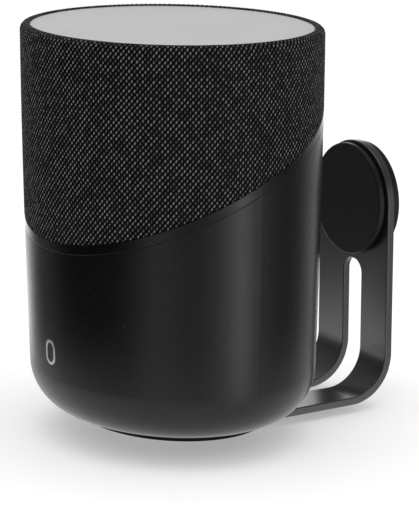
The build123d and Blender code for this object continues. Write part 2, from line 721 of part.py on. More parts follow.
with BuildPart() as front_baffle:
    box_outline(0.0)
    front_slab(BAFFLE_BACK, BAFFLE_THICK)
    disc(woofer_face, WOOFER_OPENING, -BAFFLE_THICK, Mode.SUBTRACT)
    for face in tweeter_faces.values():
        disc(face, TWEETER_OPENING, -BAFFLE_THICK, Mode.SUBTRACT)
    for across, up in WOOFER_SCREW_PLACES:
        disc(moved(woofer_face, across, up), DRIVER_SCREW_RADIUS + PLAY, -BAFFLE_THICK,
             Mode.SUBTRACT)
    for face in tweeter_faces.values():
        for across, up in TWEETER_SCREW_PLACES:
            disc(moved(face, across, up), DRIVER_SCREW_RADIUS + PLAY, -BAFFLE_THICK,
                 Mode.SUBTRACT)
save(front_baffle, "front_baffle")

# ---------------------------------------------------------------- woofer
with BuildPart() as woofer_gasket:
    disc(woofer_face, WOOFER_RADIUS, WOOFER_GASKET)
    disc(woofer_face, WOOFER_OPENING, WOOFER_GASKET, Mode.SUBTRACT)
    for across, up in WOOFER_SCREW_PLACES:
        disc(moved(woofer_face, across, up), DRIVER_SCREW_RADIUS + PLAY, WOOFER_GASKET,
             Mode.SUBTRACT)
save(woofer_gasket, "woofer_gasket")

BASKET_RIM = WOOFER_OPENING - SLIP_GAP
BASKET_SLOPE = (BASKET_RIM - BASKET_FOOT_RADIUS) / (FLANGE_BACK + BASKET_DEPTH)
LEDGE_REACH = -SPIDER_LEVEL - SPIDER_THICK
LEDGE_OUTER = BASKET_RIM - BASKET_WALL + BASKET_SLOPE * (LEDGE_REACH - FLANGE_BACK) + BASKET_WALL / 2

with BuildPart() as woofer_basket:
    turned(woofer_face, [
        (BASKET_RIM - BASKET_WALL, FLANGE_FRONT),
        (WOOFER_RADIUS, FLANGE_FRONT),
        (WOOFER_RADIUS, FLANGE_BACK),
        (BASKET_RIM, FLANGE_BACK),
        (BASKET_FOOT_RADIUS, -BASKET_DEPTH),
        (PLATE_BORE, -BASKET_DEPTH),
        (PLATE_BORE, BASKET_WALL - BASKET_DEPTH),
        (BASKET_FOOT_RADIUS - BASKET_WALL, BASKET_WALL - BASKET_DEPTH),
        (BASKET_RIM - BASKET_WALL, FLANGE_BACK),
    ])
    with BuildSketch(moved(woofer_face, 0.0, 0.0, -BASKET_DEPTH + 2 * BASKET_WALL)):
        for angle in around(BASKET_WINDOWS, BASKET_WINDOW_START):
            middle = (WOOFER_OPENING + BASKET_FOOT_RADIUS) / 2
            with Locations((middle * math.cos(angle), middle * math.sin(angle))):
                Rectangle(WOOFER_OPENING - BASKET_FOOT_RADIUS, BASKET_FOOT_RADIUS / 2,
                          rotation=math.degrees(angle))
    extrude(amount=BASKET_DEPTH - 4 * BASKET_WALL, mode=Mode.SUBTRACT)
    turned(woofer_face, [
        (SPIDER_RADIUS - SPIDER_LEDGE, LEDGE_REACH),
        (LEDGE_OUTER, LEDGE_REACH),
        (LEDGE_OUTER, LEDGE_REACH - BASKET_WALL),
        (SPIDER_RADIUS - SPIDER_LEDGE, LEDGE_REACH - BASKET_WALL),
    ])
    for across, up in WOOFER_SCREW_PLACES:
        disc(moved(woofer_face, across, up), DRIVER_SCREW_RADIUS + PLAY, FLANGE_FRONT,
             Mode.SUBTRACT)
save(woofer_basket, "woofer_basket")

TOP_PLATE_BACK = -BASKET_DEPTH - TOP_PLATE_THICK
MAGNET_BACK = TOP_PLATE_BACK - MAGNET_THICK

with BuildPart() as woofer_top_plate:
    disc(moved(woofer_face, 0.0, 0.0, -BASKET_DEPTH), TOP_PLATE_RADIUS, -TOP_PLATE_THICK)
    disc(moved(woofer_face, 0.0, 0.0, -BASKET_DEPTH), PLATE_BORE, -TOP_PLATE_THICK, Mode.SUBTRACT)
save(woofer_top_plate, "woofer_top_plate")

with BuildPart() as woofer_magnet:
    disc(moved(woofer_face, 0.0, 0.0, TOP_PLATE_BACK), MAGNET_RADIUS, -MAGNET_THICK)
    disc(moved(woofer_face, 0.0, 0.0, TOP_PLATE_BACK), MAGNET_BORE, -MAGNET_THICK, Mode.SUBTRACT)
save(woofer_magnet, "woofer_magnet")

with BuildPart() as woofer_yoke:
    disc(moved(woofer_face, 0.0, 0.0, MAGNET_BACK), TOP_PLATE_RADIUS, -YOKE_THICK)
    disc(moved(woofer_face, 0.0, 0.0, -BASKET_DEPTH), POLE_RADIUS, MAGNET_BACK + BASKET_DEPTH)
save(woofer_yoke, "woofer_yoke")

with BuildPart() as voice_coil:
    coil_front = moved(woofer_face, 0.0, 0.0, -COIL_NECK)
    disc(coil_front, COIL_RADIUS, -COIL_LENGTH)
    disc(coil_front, COIL_RADIUS - COIL_WALL, -COIL_LENGTH, Mode.SUBTRACT)
save(voice_coil, "voice_coil")

with BuildPart() as woofer_cone:
    turned(woofer_face, [
        (COIL_RADIUS, -COIL_NECK - CONE_WALL),
        (COIL_RADIUS, -COIL_NECK),
        (CONE_RADIUS - CONE_WALL, FLANGE_FRONT),
        (CONE_RADIUS, FLANGE_FRONT),
        (CONE_RADIUS, FLANGE_FRONT - CONE_WALL),
        (COIL_RADIUS + CONE_WALL, -COIL_NECK - CONE_WALL),
    ])
save(woofer_cone, "woofer_cone")

CONE_SLOPE = (FLANGE_FRONT + COIL_NECK) / (CONE_RADIUS - CONE_WALL - COIL_RADIUS)
CAP_SEAT = -COIL_NECK + CONE_SLOPE * (DUST_CAP_RADIUS - COIL_RADIUS)

with BuildPart() as dust_cap:
    domed(woofer_face, DUST_CAP_RADIUS, CAP_SEAT, DUST_CAP_RISE, CONE_WALL)
save(dust_cap, "dust_cap")

ROLL_MIDDLE = (CONE_RADIUS + BASKET_RIM) / 2
ROLL_RADIUS = (BASKET_RIM - CONE_RADIUS) / 2

with BuildPart() as woofer_surround:
    with BuildSketch(section_of(woofer_face)):
        with Locations((ROLL_MIDDLE, FLANGE_FRONT)):
            Circle(ROLL_RADIUS + SURROUND_WALL / 2)
        with Locations((ROLL_MIDDLE, FLANGE_FRONT + SURROUND_WALL / 2)):
            Rectangle(2 * (ROLL_RADIUS + SURROUND_LIP), SURROUND_WALL)
        with Locations((ROLL_MIDDLE, FLANGE_FRONT)):
            Circle(ROLL_RADIUS - SURROUND_WALL / 2, mode=Mode.SUBTRACT)
        with Locations((ROLL_MIDDLE, FLANGE_FRONT - ROLL_RADIUS)):
            Rectangle(4 * ROLL_RADIUS, 2 * ROLL_RADIUS, mode=Mode.SUBTRACT)
    revolve(axis=Axis(woofer_face.origin, woofer_face.z_dir))
save(woofer_surround, "woofer_surround")

with BuildPart() as woofer_spider:
    disc(moved(woofer_face, 0.0, 0.0, -SPIDER_LEVEL), SPIDER_RADIUS, -SPIDER_THICK)
    disc(moved(woofer_face, 0.0, 0.0, -SPIDER_LEVEL), COIL_RADIUS, -SPIDER_THICK, Mode.SUBTRACT)
save(woofer_spider, "woofer_spider")

# ---------------------------------------------------------------- tweeters
for side, face in tweeter_faces.items():
    with BuildPart() as tweeter_frame:
        disc(face, TWEETER_RADIUS, TWEETER_FACE_THICK)
        disc(face, TWEETER_DOME + TWEETER_DOME_GAP, TWEETER_FACE_THICK, Mode.SUBTRACT)
        flare = tweeter_frame.edges().filter_by(GeomType.CIRCLE)
        flare = flare.filter_by(lambda e: e.radius < TWEETER_DOME + 2 * TWEETER_DOME_GAP)
        chamfer(flare.sort_by(Axis.Y)[0], TWEETER_FACE_THICK / 2)
        for across, up in TWEETER_SCREW_PLACES:
            disc(moved(face, across, up), DRIVER_SCREW_RADIUS + PLAY, TWEETER_FACE_THICK,
                 Mode.SUBTRACT)
    save(tweeter_frame, f"tweeter_frame_{side}")

    with BuildPart() as tweeter_motor:
        disc(face, TWEETER_MOTOR_RADIUS, -TWEETER_MOTOR_DEPTH)
        disc(face, TWEETER_DOME + TWEETER_DOME_GAP, -TWEETER_FACE_THICK, Mode.SUBTRACT)
        fillet(tweeter_motor.faces().sort_by(Axis.Y)[-1].edges(), TWEETER_FACE_THICK / 2)
    save(tweeter_motor, f"tweeter_motor_{side}")

    with BuildPart() as tweeter_dome:
        domed(face, TWEETER_DOME, 0.0, TWEETER_DOME_RISE, TWEETER_DOME_WALL)
    save(tweeter_dome, f"tweeter_dome_{side}")

with BuildPart() as driver_screws:
    for across, up in WOOFER_SCREW_PLACES:
        screw(moved(woofer_face, across, up, FLANGE_FRONT), DRIVER_SCREW_RADIUS,
              FLANGE_FRONT + BAFFLE_THICK, DRIVER_SCREW_HEAD, DRIVER_SCREW_HEAD_THICK)
    for face in tweeter_faces.values():
        for across, up in TWEETER_SCREW_PLACES:
            screw(moved(face, across, up, TWEETER_FACE_THICK), DRIVER_SCREW_RADIUS,
                  TWEETER_FACE_THICK + BAFFLE_THICK, DRIVER_SCREW_HEAD, DRIVER_SCREW_HEAD_THICK)
save(driver_screws, "driver_screws")

# ---------------------------------------------------------------- boards
BOARD_CORNERS = [
    (sx * (BOARD_WIDTH / 2 - BOARD_CORNER), sy * (BOARD_DEPTH / 2 - BOARD_CORNER) + BOARD_SHIFT)
    for sx in (-1, 1)
    for sy in (-1, 1)
]


def board(height):
    """Add a rounded circuit board at a height, with a hole near each corner."""
    with BuildSketch(level(height)) as outline:
        with Locations((0, BOARD_SHIFT)):
            RectangleRounded(BOARD_WIDTH, BOARD_DEPTH, BOARD_CORNER)
        with Locations(*BOARD_CORNERS):
            Circle(STANDOFF_RADIUS / 2, mode=Mode.SUBTRACT)
    extrude(outline.sketch, amount=BOARD_THICK)


def row_places(count, pitch):
    """Places in a row of a pitch, centred on zero."""
    return [(i - (count - 1) / 2) * pitch for i in range(count)]


def on_board(height, across, deep):
    """Plane on top of a board, at a place on it."""
    origin = (across, AXIS_Y + BOARD_SHIFT + deep, FOOT_LEVEL + height + BOARD_THICK)
    return Plane(origin=origin, z_dir=(0, 0, 1))


with BuildPart() as power_board:
    board(POWER_BOARD_LEVEL)
save(power_board, "power_board")

with BuildPart() as amplifier_board:
    board(AMPLIFIER_LEVEL)
save(amplifier_board, "amplifier_board")

with BuildPart() as board_standoffs:
    for across, deep in BOARD_CORNERS:
        low = Plane(origin=(across, AXIS_Y + deep, FOOT_LEVEL + FLOOR_TOP))
        disc(low, STANDOFF_RADIUS, POWER_BOARD_LEVEL - FLOOR_TOP)
        middle = on_board(POWER_BOARD_LEVEL, across, deep - BOARD_SHIFT)
        disc(middle, STANDOFF_RADIUS, AMPLIFIER_LEVEL - POWER_BOARD_LEVEL - BOARD_THICK)
        high = on_board(AMPLIFIER_LEVEL, across, deep - BOARD_SHIFT)
        disc(high, STANDOFF_RADIUS, DECK_LEVEL - AMPLIFIER_LEVEL - BOARD_THICK)
save(board_standoffs, "board_standoffs")

with BuildPart() as power_parts:
    wide, deep, tall = TRANSFORMER_SIZE
    block(on_board(POWER_BOARD_LEVEL, -BOARD_WIDTH / 4, 0.0), wide, deep, tall)
    for back in row_places(CAPACITOR_COUNT, CAPACITOR_PITCH):
        place = on_board(POWER_BOARD_LEVEL, BOARD_WIDTH / 5, back)
        disc(place, CAPACITOR_RADIUS, CAPACITOR_HEIGHT)
save(power_parts, "power_parts")

with BuildPart() as heat_sink:
    wide, deep, tall = HEAT_SINK_SIZE
    seat = on_board(AMPLIFIER_LEVEL, -BOARD_WIDTH / 8, BOARD_DEPTH / 8)
    block(seat, wide, deep, HEAT_SINK_BASE)
    with BuildSketch(seat.offset(HEAT_SINK_BASE)):
        pitch = (wide - HEAT_SINK_FIN) / (HEAT_SINK_FINS - 1)
        with GridLocations(pitch, deep, HEAT_SINK_FINS, 1):
            Rectangle(HEAT_SINK_FIN, deep)
    extrude(amount=tall - HEAT_SINK_BASE)
save(heat_sink, "heat_sink")

with BuildPart() as amplifier_parts:
    wide, deep, tall = COIL_CAN_SIZE
    for across in row_places(COIL_CAN_COUNT, COIL_CAN_PITCH):
        block(on_board(AMPLIFIER_LEVEL, across, -BOARD_DEPTH / 3), wide, deep, tall)
save(amplifier_parts, "amplifier_parts")

with BuildPart() as wireless_module:
    wide, deep, tall = WIRELESS_SIZE
    block(on_board(AMPLIFIER_LEVEL, BOARD_WIDTH / 3, 0.0), wide, deep, tall)
save(wireless_module, "wireless_module")

with BuildPart() as antennas:
    wide, thick, tall = ANTENNA_SIZE
    for side in (-1, 1):
        reach = semi_axes(ANTENNA_LEVEL, ANTENNA_INSET)[0]
        place = Plane(
            origin=(side * reach, AXIS_Y, FOOT_LEVEL + ANTENNA_LEVEL),
            x_dir=(0, 1, 0),
            z_dir=(-side, 0, 0),
        )
        block(place, wide, tall, thick)
save(antennas, "antennas")

# ---------------------------------------------------------------- connector panel
def socket_plane(place, offset=PANEL_FLOOR_OFFSET):
    """Plane of a socket's mouth on the connector panel."""
    across, height = place
    return rear_plane(offset, across, height)


def pill(face, size, reach, mode=Mode.ADD):
    """Extrude a flat-sided rounded slot of a width and height from a facing plane."""
    with BuildSketch(face) as outline:
        SlotOverall(size[0], size[1])
    extrude(outline.sketch, amount=reach, mode=mode)


with BuildPart() as connector_panel:
    tray_back = rear_plane(PANEL_FLOOR_OFFSET - PANEL_WALL, 0.0, PANEL_MIDDLE)
    block(tray_back, PANEL_WIDTH, PANEL_TALL, BODY_DEPTH / 2)
    add(shell_form.part, mode=Mode.INTERSECT)
    block(rear_plane(PANEL_FLOOR_OFFSET, 0.0, PANEL_MIDDLE), PANEL_WIDTH - 2 * PANEL_WALL,
          PANEL_TALL - 2 * PANEL_WALL, BODY_DEPTH / 2, Mode.SUBTRACT)
    through = -PANEL_WALL
    wide, tall = INLET_SIZE
    block(socket_plane(INLET_PLACE), wide + 2 * SOCKET_GAP, tall + 2 * SOCKET_GAP, through,
          Mode.SUBTRACT)
    wide, tall = NETWORK_SIZE
    block(socket_plane(NETWORK_PLACE), wide + 2 * SOCKET_GAP, tall + 2 * SOCKET_GAP, through,
          Mode.SUBTRACT)
    wide, tall = USB_SIZE
    block(socket_plane(USB_PLACE), wide + 2 * SOCKET_GAP, tall + 2 * SOCKET_GAP, through,
          Mode.SUBTRACT)
    disc(socket_plane(AUDIO_PLACE), AUDIO_RADIUS + SOCKET_GAP, through, Mode.SUBTRACT)
    disc(socket_plane(BUTTON_PLACE), BUTTON_RADIUS + BUTTON_GAP, through, Mode.SUBTRACT)
    for place in PANEL_SCREW_PLACES:
        disc(socket_plane(place), PANEL_SCREW_RADIUS + PLAY, through, Mode.SUBTRACT)
save(connector_panel, "connector_panel")

IO_BODY = PANEL_FLOOR_OFFSET - IO_BOARD_OFFSET

with BuildPart() as io_board:
    face = rear_plane(IO_BOARD_OFFSET, 0.0, PANEL_MIDDLE)
    block(face, PANEL_WIDTH - 2 * IO_BOARD_MARGIN, PANEL_TALL - 2 * IO_BOARD_MARGIN,
          -BOARD_THICK)
    wide, tall, reach = SWITCH_SIZE
    block(socket_plane(BUTTON_PLACE, IO_BOARD_OFFSET), wide, tall, reach)
save(io_board, "io_board")

with BuildPart() as power_inlet:
    mouth = socket_plane(INLET_PLACE)
    block(mouth, *INLET_SIZE, -IO_BODY)
    pill(mouth, INLET_CAVITY, -INLET_DEPTH, Mode.SUBTRACT)
    for side in (-1, 1):
        pin = moved(mouth, side * INLET_PIN_PITCH / 2, 0.0, -INLET_DEPTH)
        disc(pin, INLET_PIN_RADIUS, INLET_PIN_REACH)
save(power_inlet, "power_inlet")

with BuildPart() as network_jack:
    mouth = socket_plane(NETWORK_PLACE)
    block(mouth, *NETWORK_SIZE, -IO_BODY)
    block(mouth, *NETWORK_CAVITY, -NETWORK_DEPTH, Mode.SUBTRACT)
save(network_jack, "network_jack")

with BuildPart() as usb_port:
    mouth = socket_plane(USB_PLACE)
    block(mouth, *USB_SIZE, -IO_BODY)
    pill(mouth, USB_CAVITY, -USB_DEPTH, Mode.SUBTRACT)
    block(moved(mouth, 0.0, 0.0, -USB_DEPTH), *USB_TONGUE, USB_TONGUE_REACH)
save(usb_port, "usb_port")

with BuildPart() as audio_jack:
    mouth = socket_plane(AUDIO_PLACE)
    disc(mouth, AUDIO_RADIUS, -IO_BODY)
    disc(mouth, AUDIO_BORE, -AUDIO_DEPTH, Mode.SUBTRACT)
save(audio_jack, "audio_jack")

SWITCH_FACE = IO_BOARD_OFFSET + SWITCH_SIZE[2]

with BuildPart() as service_button:
    tip = socket_plane(BUTTON_PLACE, PANEL_FLOOR_OFFSET + BUTTON_PROUD)
    stem = PANEL_FLOOR_OFFSET + BUTTON_PROUD - SWITCH_FACE - BUTTON_TRAVEL - BUTTON_GAP
    disc(tip, BUTTON_RADIUS, -stem)
    fillet(service_button.faces().sort_by(Axis.Y)[-1].edges(), BUTTON_PROUD / 2)
save(service_button, "service_button")

with BuildPart() as panel_screws:
    for place in PANEL_SCREW_PLACES:
        screw(socket_plane(place), PANEL_SCREW_RADIUS, IO_BODY, PANEL_SCREW_HEAD,
              PANEL_SCREW_HEAD_THICK)
save(panel_screws, "panel_screws")

with BuildPart() as power_wires:
    for side in (-1, 1):
        across = INLET_PLACE[0] + side * 2 * WIRE_RADIUS
        board_top = POWER_BOARD_LEVEL + BOARD_THICK
        start = (across, AXIS_Y + IO_BOARD_OFFSET - BOARD_THICK, FOOT_LEVEL + INLET_PLACE[1])
        turn_y = AXIS_Y + BOARD_SHIFT + BOARD_DEPTH / 2 - 2 * WIRE_RADIUS
        with BuildLine() as wire_path:
            FilletPolyline(start, (across, turn_y, start[2]),
                           (across, turn_y, FOOT_LEVEL + board_top), radius=WIRE_BEND)
        with BuildSketch(Plane(origin=start, z_dir=(0, -1, 0))):
            Circle(WIRE_RADIUS)
        sweep(path=wire_path.wires()[0])
save(power_wires, "power_wires")

with BuildPart() as ribbon_cable:
    low = AMPLIFIER_LEVEL + BOARD_THICK
    with BuildSketch(level(low)):
        with Locations((0, semi_axes(DECK_LEVEL, RIBBON_INSET)[1])):
            Rectangle(RIBBON_WIDTH, RIBBON_THICK)
    extrude(amount=BOX_TOP - low)
save(ribbon_cable, "ribbon_cable")

# ---------------------------------------------------------------- wall bracket
with BuildPart() as wall_disc:
    disc(wall_plane(0.0), WALL_DISC_RADIUS, WALL_DISC_THICK)
    fillet(wall_disc.faces().sort_by(Axis.Y)[0].edges(), DISC_EDGE)
    disc(wall_plane(0.0), HUB_RADIUS, -WASHER_FRONT)
    pocket = WALL_DISC_THICK - STUD_FLANGE_THICK - PLAY
    disc(wall_plane(-pocket), HUB_BORE, -WASHER_FRONT - pocket, Mode.SUBTRACT)
    disc(wall_plane(-STUD_ROOT), STUD_RADIUS, WALL_DISC_THICK, Mode.SUBTRACT)
    with Locations(wall_plane(-WALL_DISC_THICK)):
        with PolarLocations(WALL_HOLE_CIRCLE / 2, WALL_HOLE_COUNT, WALL_HOLE_START):
            CounterSinkHole(WALL_HOLE_RADIUS, WALL_HOLE_HEAD, depth=WALL_DISC_THICK)
save(wall_disc, "wall_disc")

with BuildPart() as pivot_stud:
    disc(wall_plane(-STUD_ROOT), STUD_RADIUS, -CLAMP_FRONT - 2 * STUD_ROOT)
    disc(wall_plane(-pocket), STUD_FLANGE_RADIUS, STUD_FLANGE_THICK)
save(pivot_stud, "pivot_stud")

with BuildPart() as friction_washer:
    disc(wall_plane(PLATE_FRONT - PLAY), WASHER_RADIUS, WASHER_THICK)
    disc(wall_plane(PLATE_FRONT - PLAY), HUB_RADIUS + PLAY, WASHER_THICK, Mode.SUBTRACT)
save(friction_washer, "friction_washer")

with BuildPart() as clamp_disc:
    disc(wall_plane(CLAMP_REAR), WALL_DISC_RADIUS, CLAMP_DISC_THICK)
    fillet(clamp_disc.faces().filter_by(Axis.Y).edges(), DISC_EDGE)
    boss_end = WALL_DISC_THICK + 2 * PLAY
    disc(wall_plane(CLAMP_REAR), CLAMP_BOSS_RADIUS, CLAMP_REAR + boss_end)
    disc(wall_plane(-boss_end), STUD_RADIUS + PLAY, -CLAMP_FRONT - STUD_ROOT + PLAY - boss_end,
         Mode.SUBTRACT)
save(clamp_disc, "clamp_disc")

PLATE_TOP = BRACKET_WIDTH / 2
ARM_UNDER = FOOT_LEVEL - BRACKET_THICK
BRACKET_END = BRACKET_WIDTH / 2

SLOT_REACH = AXIS_TO_WALL - BRACKET_SLOT_FRONT
SLOT_TALL = BRACKET_SLOT_TOP + 2 * BRACKET_THICK

with BuildPart() as cable_slot:
    with BuildSketch(level(-2 * BRACKET_THICK)):
        with Locations((0, BRACKET_SLOT_FRONT + SLOT_REACH / 2)):
            Rectangle(BRACKET_SLOT_WIDTH, SLOT_REACH)
    extrude(amount=SLOT_TALL)
    slot_roof = cable_slot.faces().sort_by(Axis.Z)[-1]
    fillet(slot_roof.edges().filter_by(Axis.Y), BRACKET_SLOT_END)
    slot_end = cable_slot.faces().sort_by(Axis.Y)[0]
    fillet(slot_end.edges().filter_by(Axis.Z), BRACKET_SLOT_END)

with BuildPart() as bracket_arm:
    with BuildSketch(Plane.YZ.offset(-BRACKET_WIDTH / 2)):
        with BuildLine():
            inner = BRACKET_BEND - BRACKET_THICK
            arm_tip = AXIS_Y - BRACKET_END
            Polyline((PLATE_FRONT, FOOT_LEVEL + inner), (PLATE_FRONT, PLATE_TOP),
                     (PLATE_REAR, PLATE_TOP), (PLATE_REAR, ARM_UNDER + BRACKET_BEND))
            RadiusArc((PLATE_REAR, ARM_UNDER + BRACKET_BEND),
                      (PLATE_REAR - BRACKET_BEND, ARM_UNDER), BRACKET_BEND)
            Polyline((PLATE_REAR - BRACKET_BEND, ARM_UNDER), (arm_tip, ARM_UNDER),
                     (arm_tip, FOOT_LEVEL), (PLATE_FRONT - inner, FOOT_LEVEL))
            RadiusArc((PLATE_FRONT - inner, FOOT_LEVEL), (PLATE_FRONT, FOOT_LEVEL + inner),
                      -inner)
        make_face()
    extrude(amount=BRACKET_WIDTH)
    with BuildSketch(wall_plane(0.0)):
        with Locations((0, BRACKET_END)):
            Rectangle(BRACKET_WIDTH, BRACKET_WIDTH)
        Circle(BRACKET_END, mode=Mode.SUBTRACT)
    extrude(amount=-PLATE_FRONT + PLAY, mode=Mode.SUBTRACT)
    with BuildSketch(level(-BRACKET_THICK)):
        with Locations((0, -BRACKET_END)):
            Rectangle(BRACKET_WIDTH, BRACKET_WIDTH)
        Circle(BRACKET_END, mode=Mode.SUBTRACT)
    extrude(amount=BRACKET_THICK, mode=Mode.SUBTRACT)
    add(cable_slot.part, mode=Mode.SUBTRACT)
    flat_edges = bracket_arm.edges().filter_by(lambda e: e.length > BRACKET_THICK * BRACKET_LONG_EDGE)
    fillet(flat_edges, BRACKET_EDGE)
    disc(wall_plane(0.0), HUB_RADIUS + PLAY, -PLATE_FRONT + PLAY, Mode.SUBTRACT)
    disc(level(-2 * BRACKET_THICK), ARM_HOLE_RADIUS, 3 * BRACKET_THICK, Mode.SUBTRACT)
save(bracket_arm, "bracket_arm")

with BuildPart() as thumb_screw:
    under = Plane(origin=(0, AXIS_Y, ARM_UNDER - PLAY), z_dir=(0, 0, -1))
    disc(under, THUMB_HEAD_RADIUS, THUMB_HEAD_THICK)
    fillet(thumb_screw.faces().sort_by(Axis.Z)[0].edges(), BRACKET_EDGE)
    with BuildSketch(under):
        with PolarLocations(THUMB_HEAD_RADIUS, THUMB_KNURLS):
            Circle(THUMB_KNURL_RADIUS)
    extrude(amount=THUMB_HEAD_THICK, mode=Mode.SUBTRACT)
    wide, tall, sink = THUMB_SLOT
    block(under.offset(THUMB_HEAD_THICK), wide, tall, -sink, Mode.SUBTRACT)
    disc(under, THUMB_SHANK_RADIUS, -BRACKET_THICK - 2 * PLAY - INSERT_TOP + BASE_PLATE_THICK)
save(thumb_screw, "thumb_screw")
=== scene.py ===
"""Dress an oval smart speaker on its wall bracket, and light it in a pale studio."""
import json
import logging
import math
from collections.abc import Callable
from dataclasses import dataclass, field
from enum import Enum

import bpy
from mathutils import Matrix, Vector


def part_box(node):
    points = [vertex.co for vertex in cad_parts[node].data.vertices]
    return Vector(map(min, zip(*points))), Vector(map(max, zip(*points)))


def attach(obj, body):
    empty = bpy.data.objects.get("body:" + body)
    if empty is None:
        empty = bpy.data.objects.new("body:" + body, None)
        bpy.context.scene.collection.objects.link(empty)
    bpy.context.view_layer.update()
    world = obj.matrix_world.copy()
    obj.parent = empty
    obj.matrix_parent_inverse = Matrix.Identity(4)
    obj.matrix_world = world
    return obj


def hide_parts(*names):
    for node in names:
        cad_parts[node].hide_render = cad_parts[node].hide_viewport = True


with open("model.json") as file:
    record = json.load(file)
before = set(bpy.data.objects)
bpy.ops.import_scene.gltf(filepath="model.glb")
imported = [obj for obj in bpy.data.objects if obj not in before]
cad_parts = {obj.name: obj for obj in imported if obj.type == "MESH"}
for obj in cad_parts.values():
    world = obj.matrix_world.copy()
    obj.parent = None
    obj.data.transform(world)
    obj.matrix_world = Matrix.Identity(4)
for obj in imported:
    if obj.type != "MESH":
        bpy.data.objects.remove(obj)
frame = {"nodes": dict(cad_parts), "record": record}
log = logging.getLogger("speaker")

Colour = tuple[float, float, float]


# ---------------------------------------------------------------- edit-mode helpers
def deselect_all() -> None:
    """Leave edit mode if it is on, and deselect every object."""
    if bpy.context.object is not None and bpy.context.object.mode != "OBJECT":
        bpy.ops.object.mode_set(mode="OBJECT")
    bpy.ops.object.select_all(action="DESELECT")


def open_for_editing(piece: bpy.types.Object, select_mode: str = "VERT") -> None:
    """Make one object active and open its mesh in edit mode with all of it selected.

    Args:
        piece: The mesh object to edit.
        select_mode: VERT, EDGE or FACE.
    """
    deselect_all()
    piece.select_set(True)
    bpy.context.view_layer.objects.active = piece
    bpy.ops.object.mode_set(mode="EDIT")
    bpy.ops.mesh.select_mode(type=select_mode)
    bpy.ops.mesh.select_all(action="SELECT")


def close_editing() -> None:
    """Return to object mode."""
    bpy.ops.object.mode_set(mode="OBJECT")


def settle(piece: bpy.types.Object) -> None:
    """Put an object's place, turn and size into its mesh, so that it sits at the origin.

    Args:
        piece: The mesh object to settle.
    """
    deselect_all()
    piece.select_set(True)
    bpy.context.view_layer.objects.active = piece
    bpy.ops.object.transform_apply(location=True, rotation=True, scale=True)


def choose_vertices(piece: bpy.types.Object,
                    wanted: Callable[[bpy.types.MeshVertex], bool]) -> int:
    """Select only the vertices of a closed mesh whose place passes a test.

    Args:
        piece: The mesh object, in object mode.
        wanted: Function of a vertex that says whether it is selected.

    Returns:
        How many vertices are selected.
    """
    mesh = piece.data
    for part in (mesh.vertices, mesh.edges, mesh.polygons):
        part.foreach_set("select", [False] * len(part))
    count = 0
    for vertex in mesh.vertices:
        if wanted(vertex):
            vertex.select = True
            count += 1
    return count


# ---------------------------------------------------------------- the body's form
@dataclass(frozen=True)
class BodyForm:
    """Oval body that draws in towards its foot, read from the frame, in metres."""

    taper_share: float = 0.0463
    taper_power: float = 1.88
    slant_deg: float = 25.3
    foot_lift: float = 0.00005

    @property
    def axis_y(self) -> float:
        """Place of the body's upright axis along Y."""
        low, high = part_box("top_panel")
        return (low.y + high.y) / 2

    @property
    def foot_z(self) -> float:
        """Level of the arm's top, on which the foot stands."""
        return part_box("foot_pad")[0].z - self.foot_lift

    @property
    def height(self) -> float:
        """Height of the body above the arm's top."""
        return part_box("grille_fabric")[1].z - self.foot_z

    @property
    def half_sizes(self) -> tuple[float, float]:
        """Half width and half depth at the rim."""
        low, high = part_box("grille_fabric")
        return (high.x - low.x) / 2, (high.y - low.y) / 2

    @property
    def girth(self) -> float:
        """Length once round the oval at the rim."""
        across, deep = self.half_sizes
        root = math.sqrt((3 * across + deep) * (across + 3 * deep))
        return math.pi * (3 * (across + deep) - root)

    @property
    def slope(self) -> float:
        """Rise of the slanted seams for each metre towards the rear."""
        return math.tan(math.radians(self.slant_deg))

    def taper(self, height: float) -> float:
        """Share of the rim's size at a height above the foot."""
        drop = max(0.0, self.height - height) / self.height
        return 1 - self.taper_share * drop**self.taper_power

    def semi_axes(self, height: float, inset: float = 0.0) -> tuple[float, float]:
        """Half width and half depth at a height, drawn in by an inset."""
        half_width, half_depth = self.half_sizes
        share = self.taper(height)
        return half_width * share - inset, half_depth * share - inset

    def centre(self, height: float) -> Vector:
        """Point on the body's axis at a height above the foot."""
        return Vector((0.0, self.axis_y, self.foot_z + height))


# ---------------------------------------------------------------- finishes
class Surface(Enum):
    """Kinds of surface that a finish can have."""

    MOULDED = "moulded"
    COATED = "coated"
    BRUSHED = "brushed"
    POLISHED = "polished"
    RUBBERY = "rubbery"
    WOVEN = "woven"
    FIBRE = "fibre"
    BOARD = "board"
    LENS = "lens"


@dataclass(frozen=True)
class Finish:
    """One material: what it is made like, its colours and its surface sizes in metres."""

    slot: str
    surface: Surface
    colour: Colour
    tint: Colour
    roughness: float
    metallic: float = 0.0
    grain: float = 0.0006
    depth: float = 0.00002
    coat: float = 0.0
    coat_roughness: float = 0.1
    specular: float = 0.5
    sheen: float = 0.0
    dust: float = 0.15
    edge: float = 0.0005


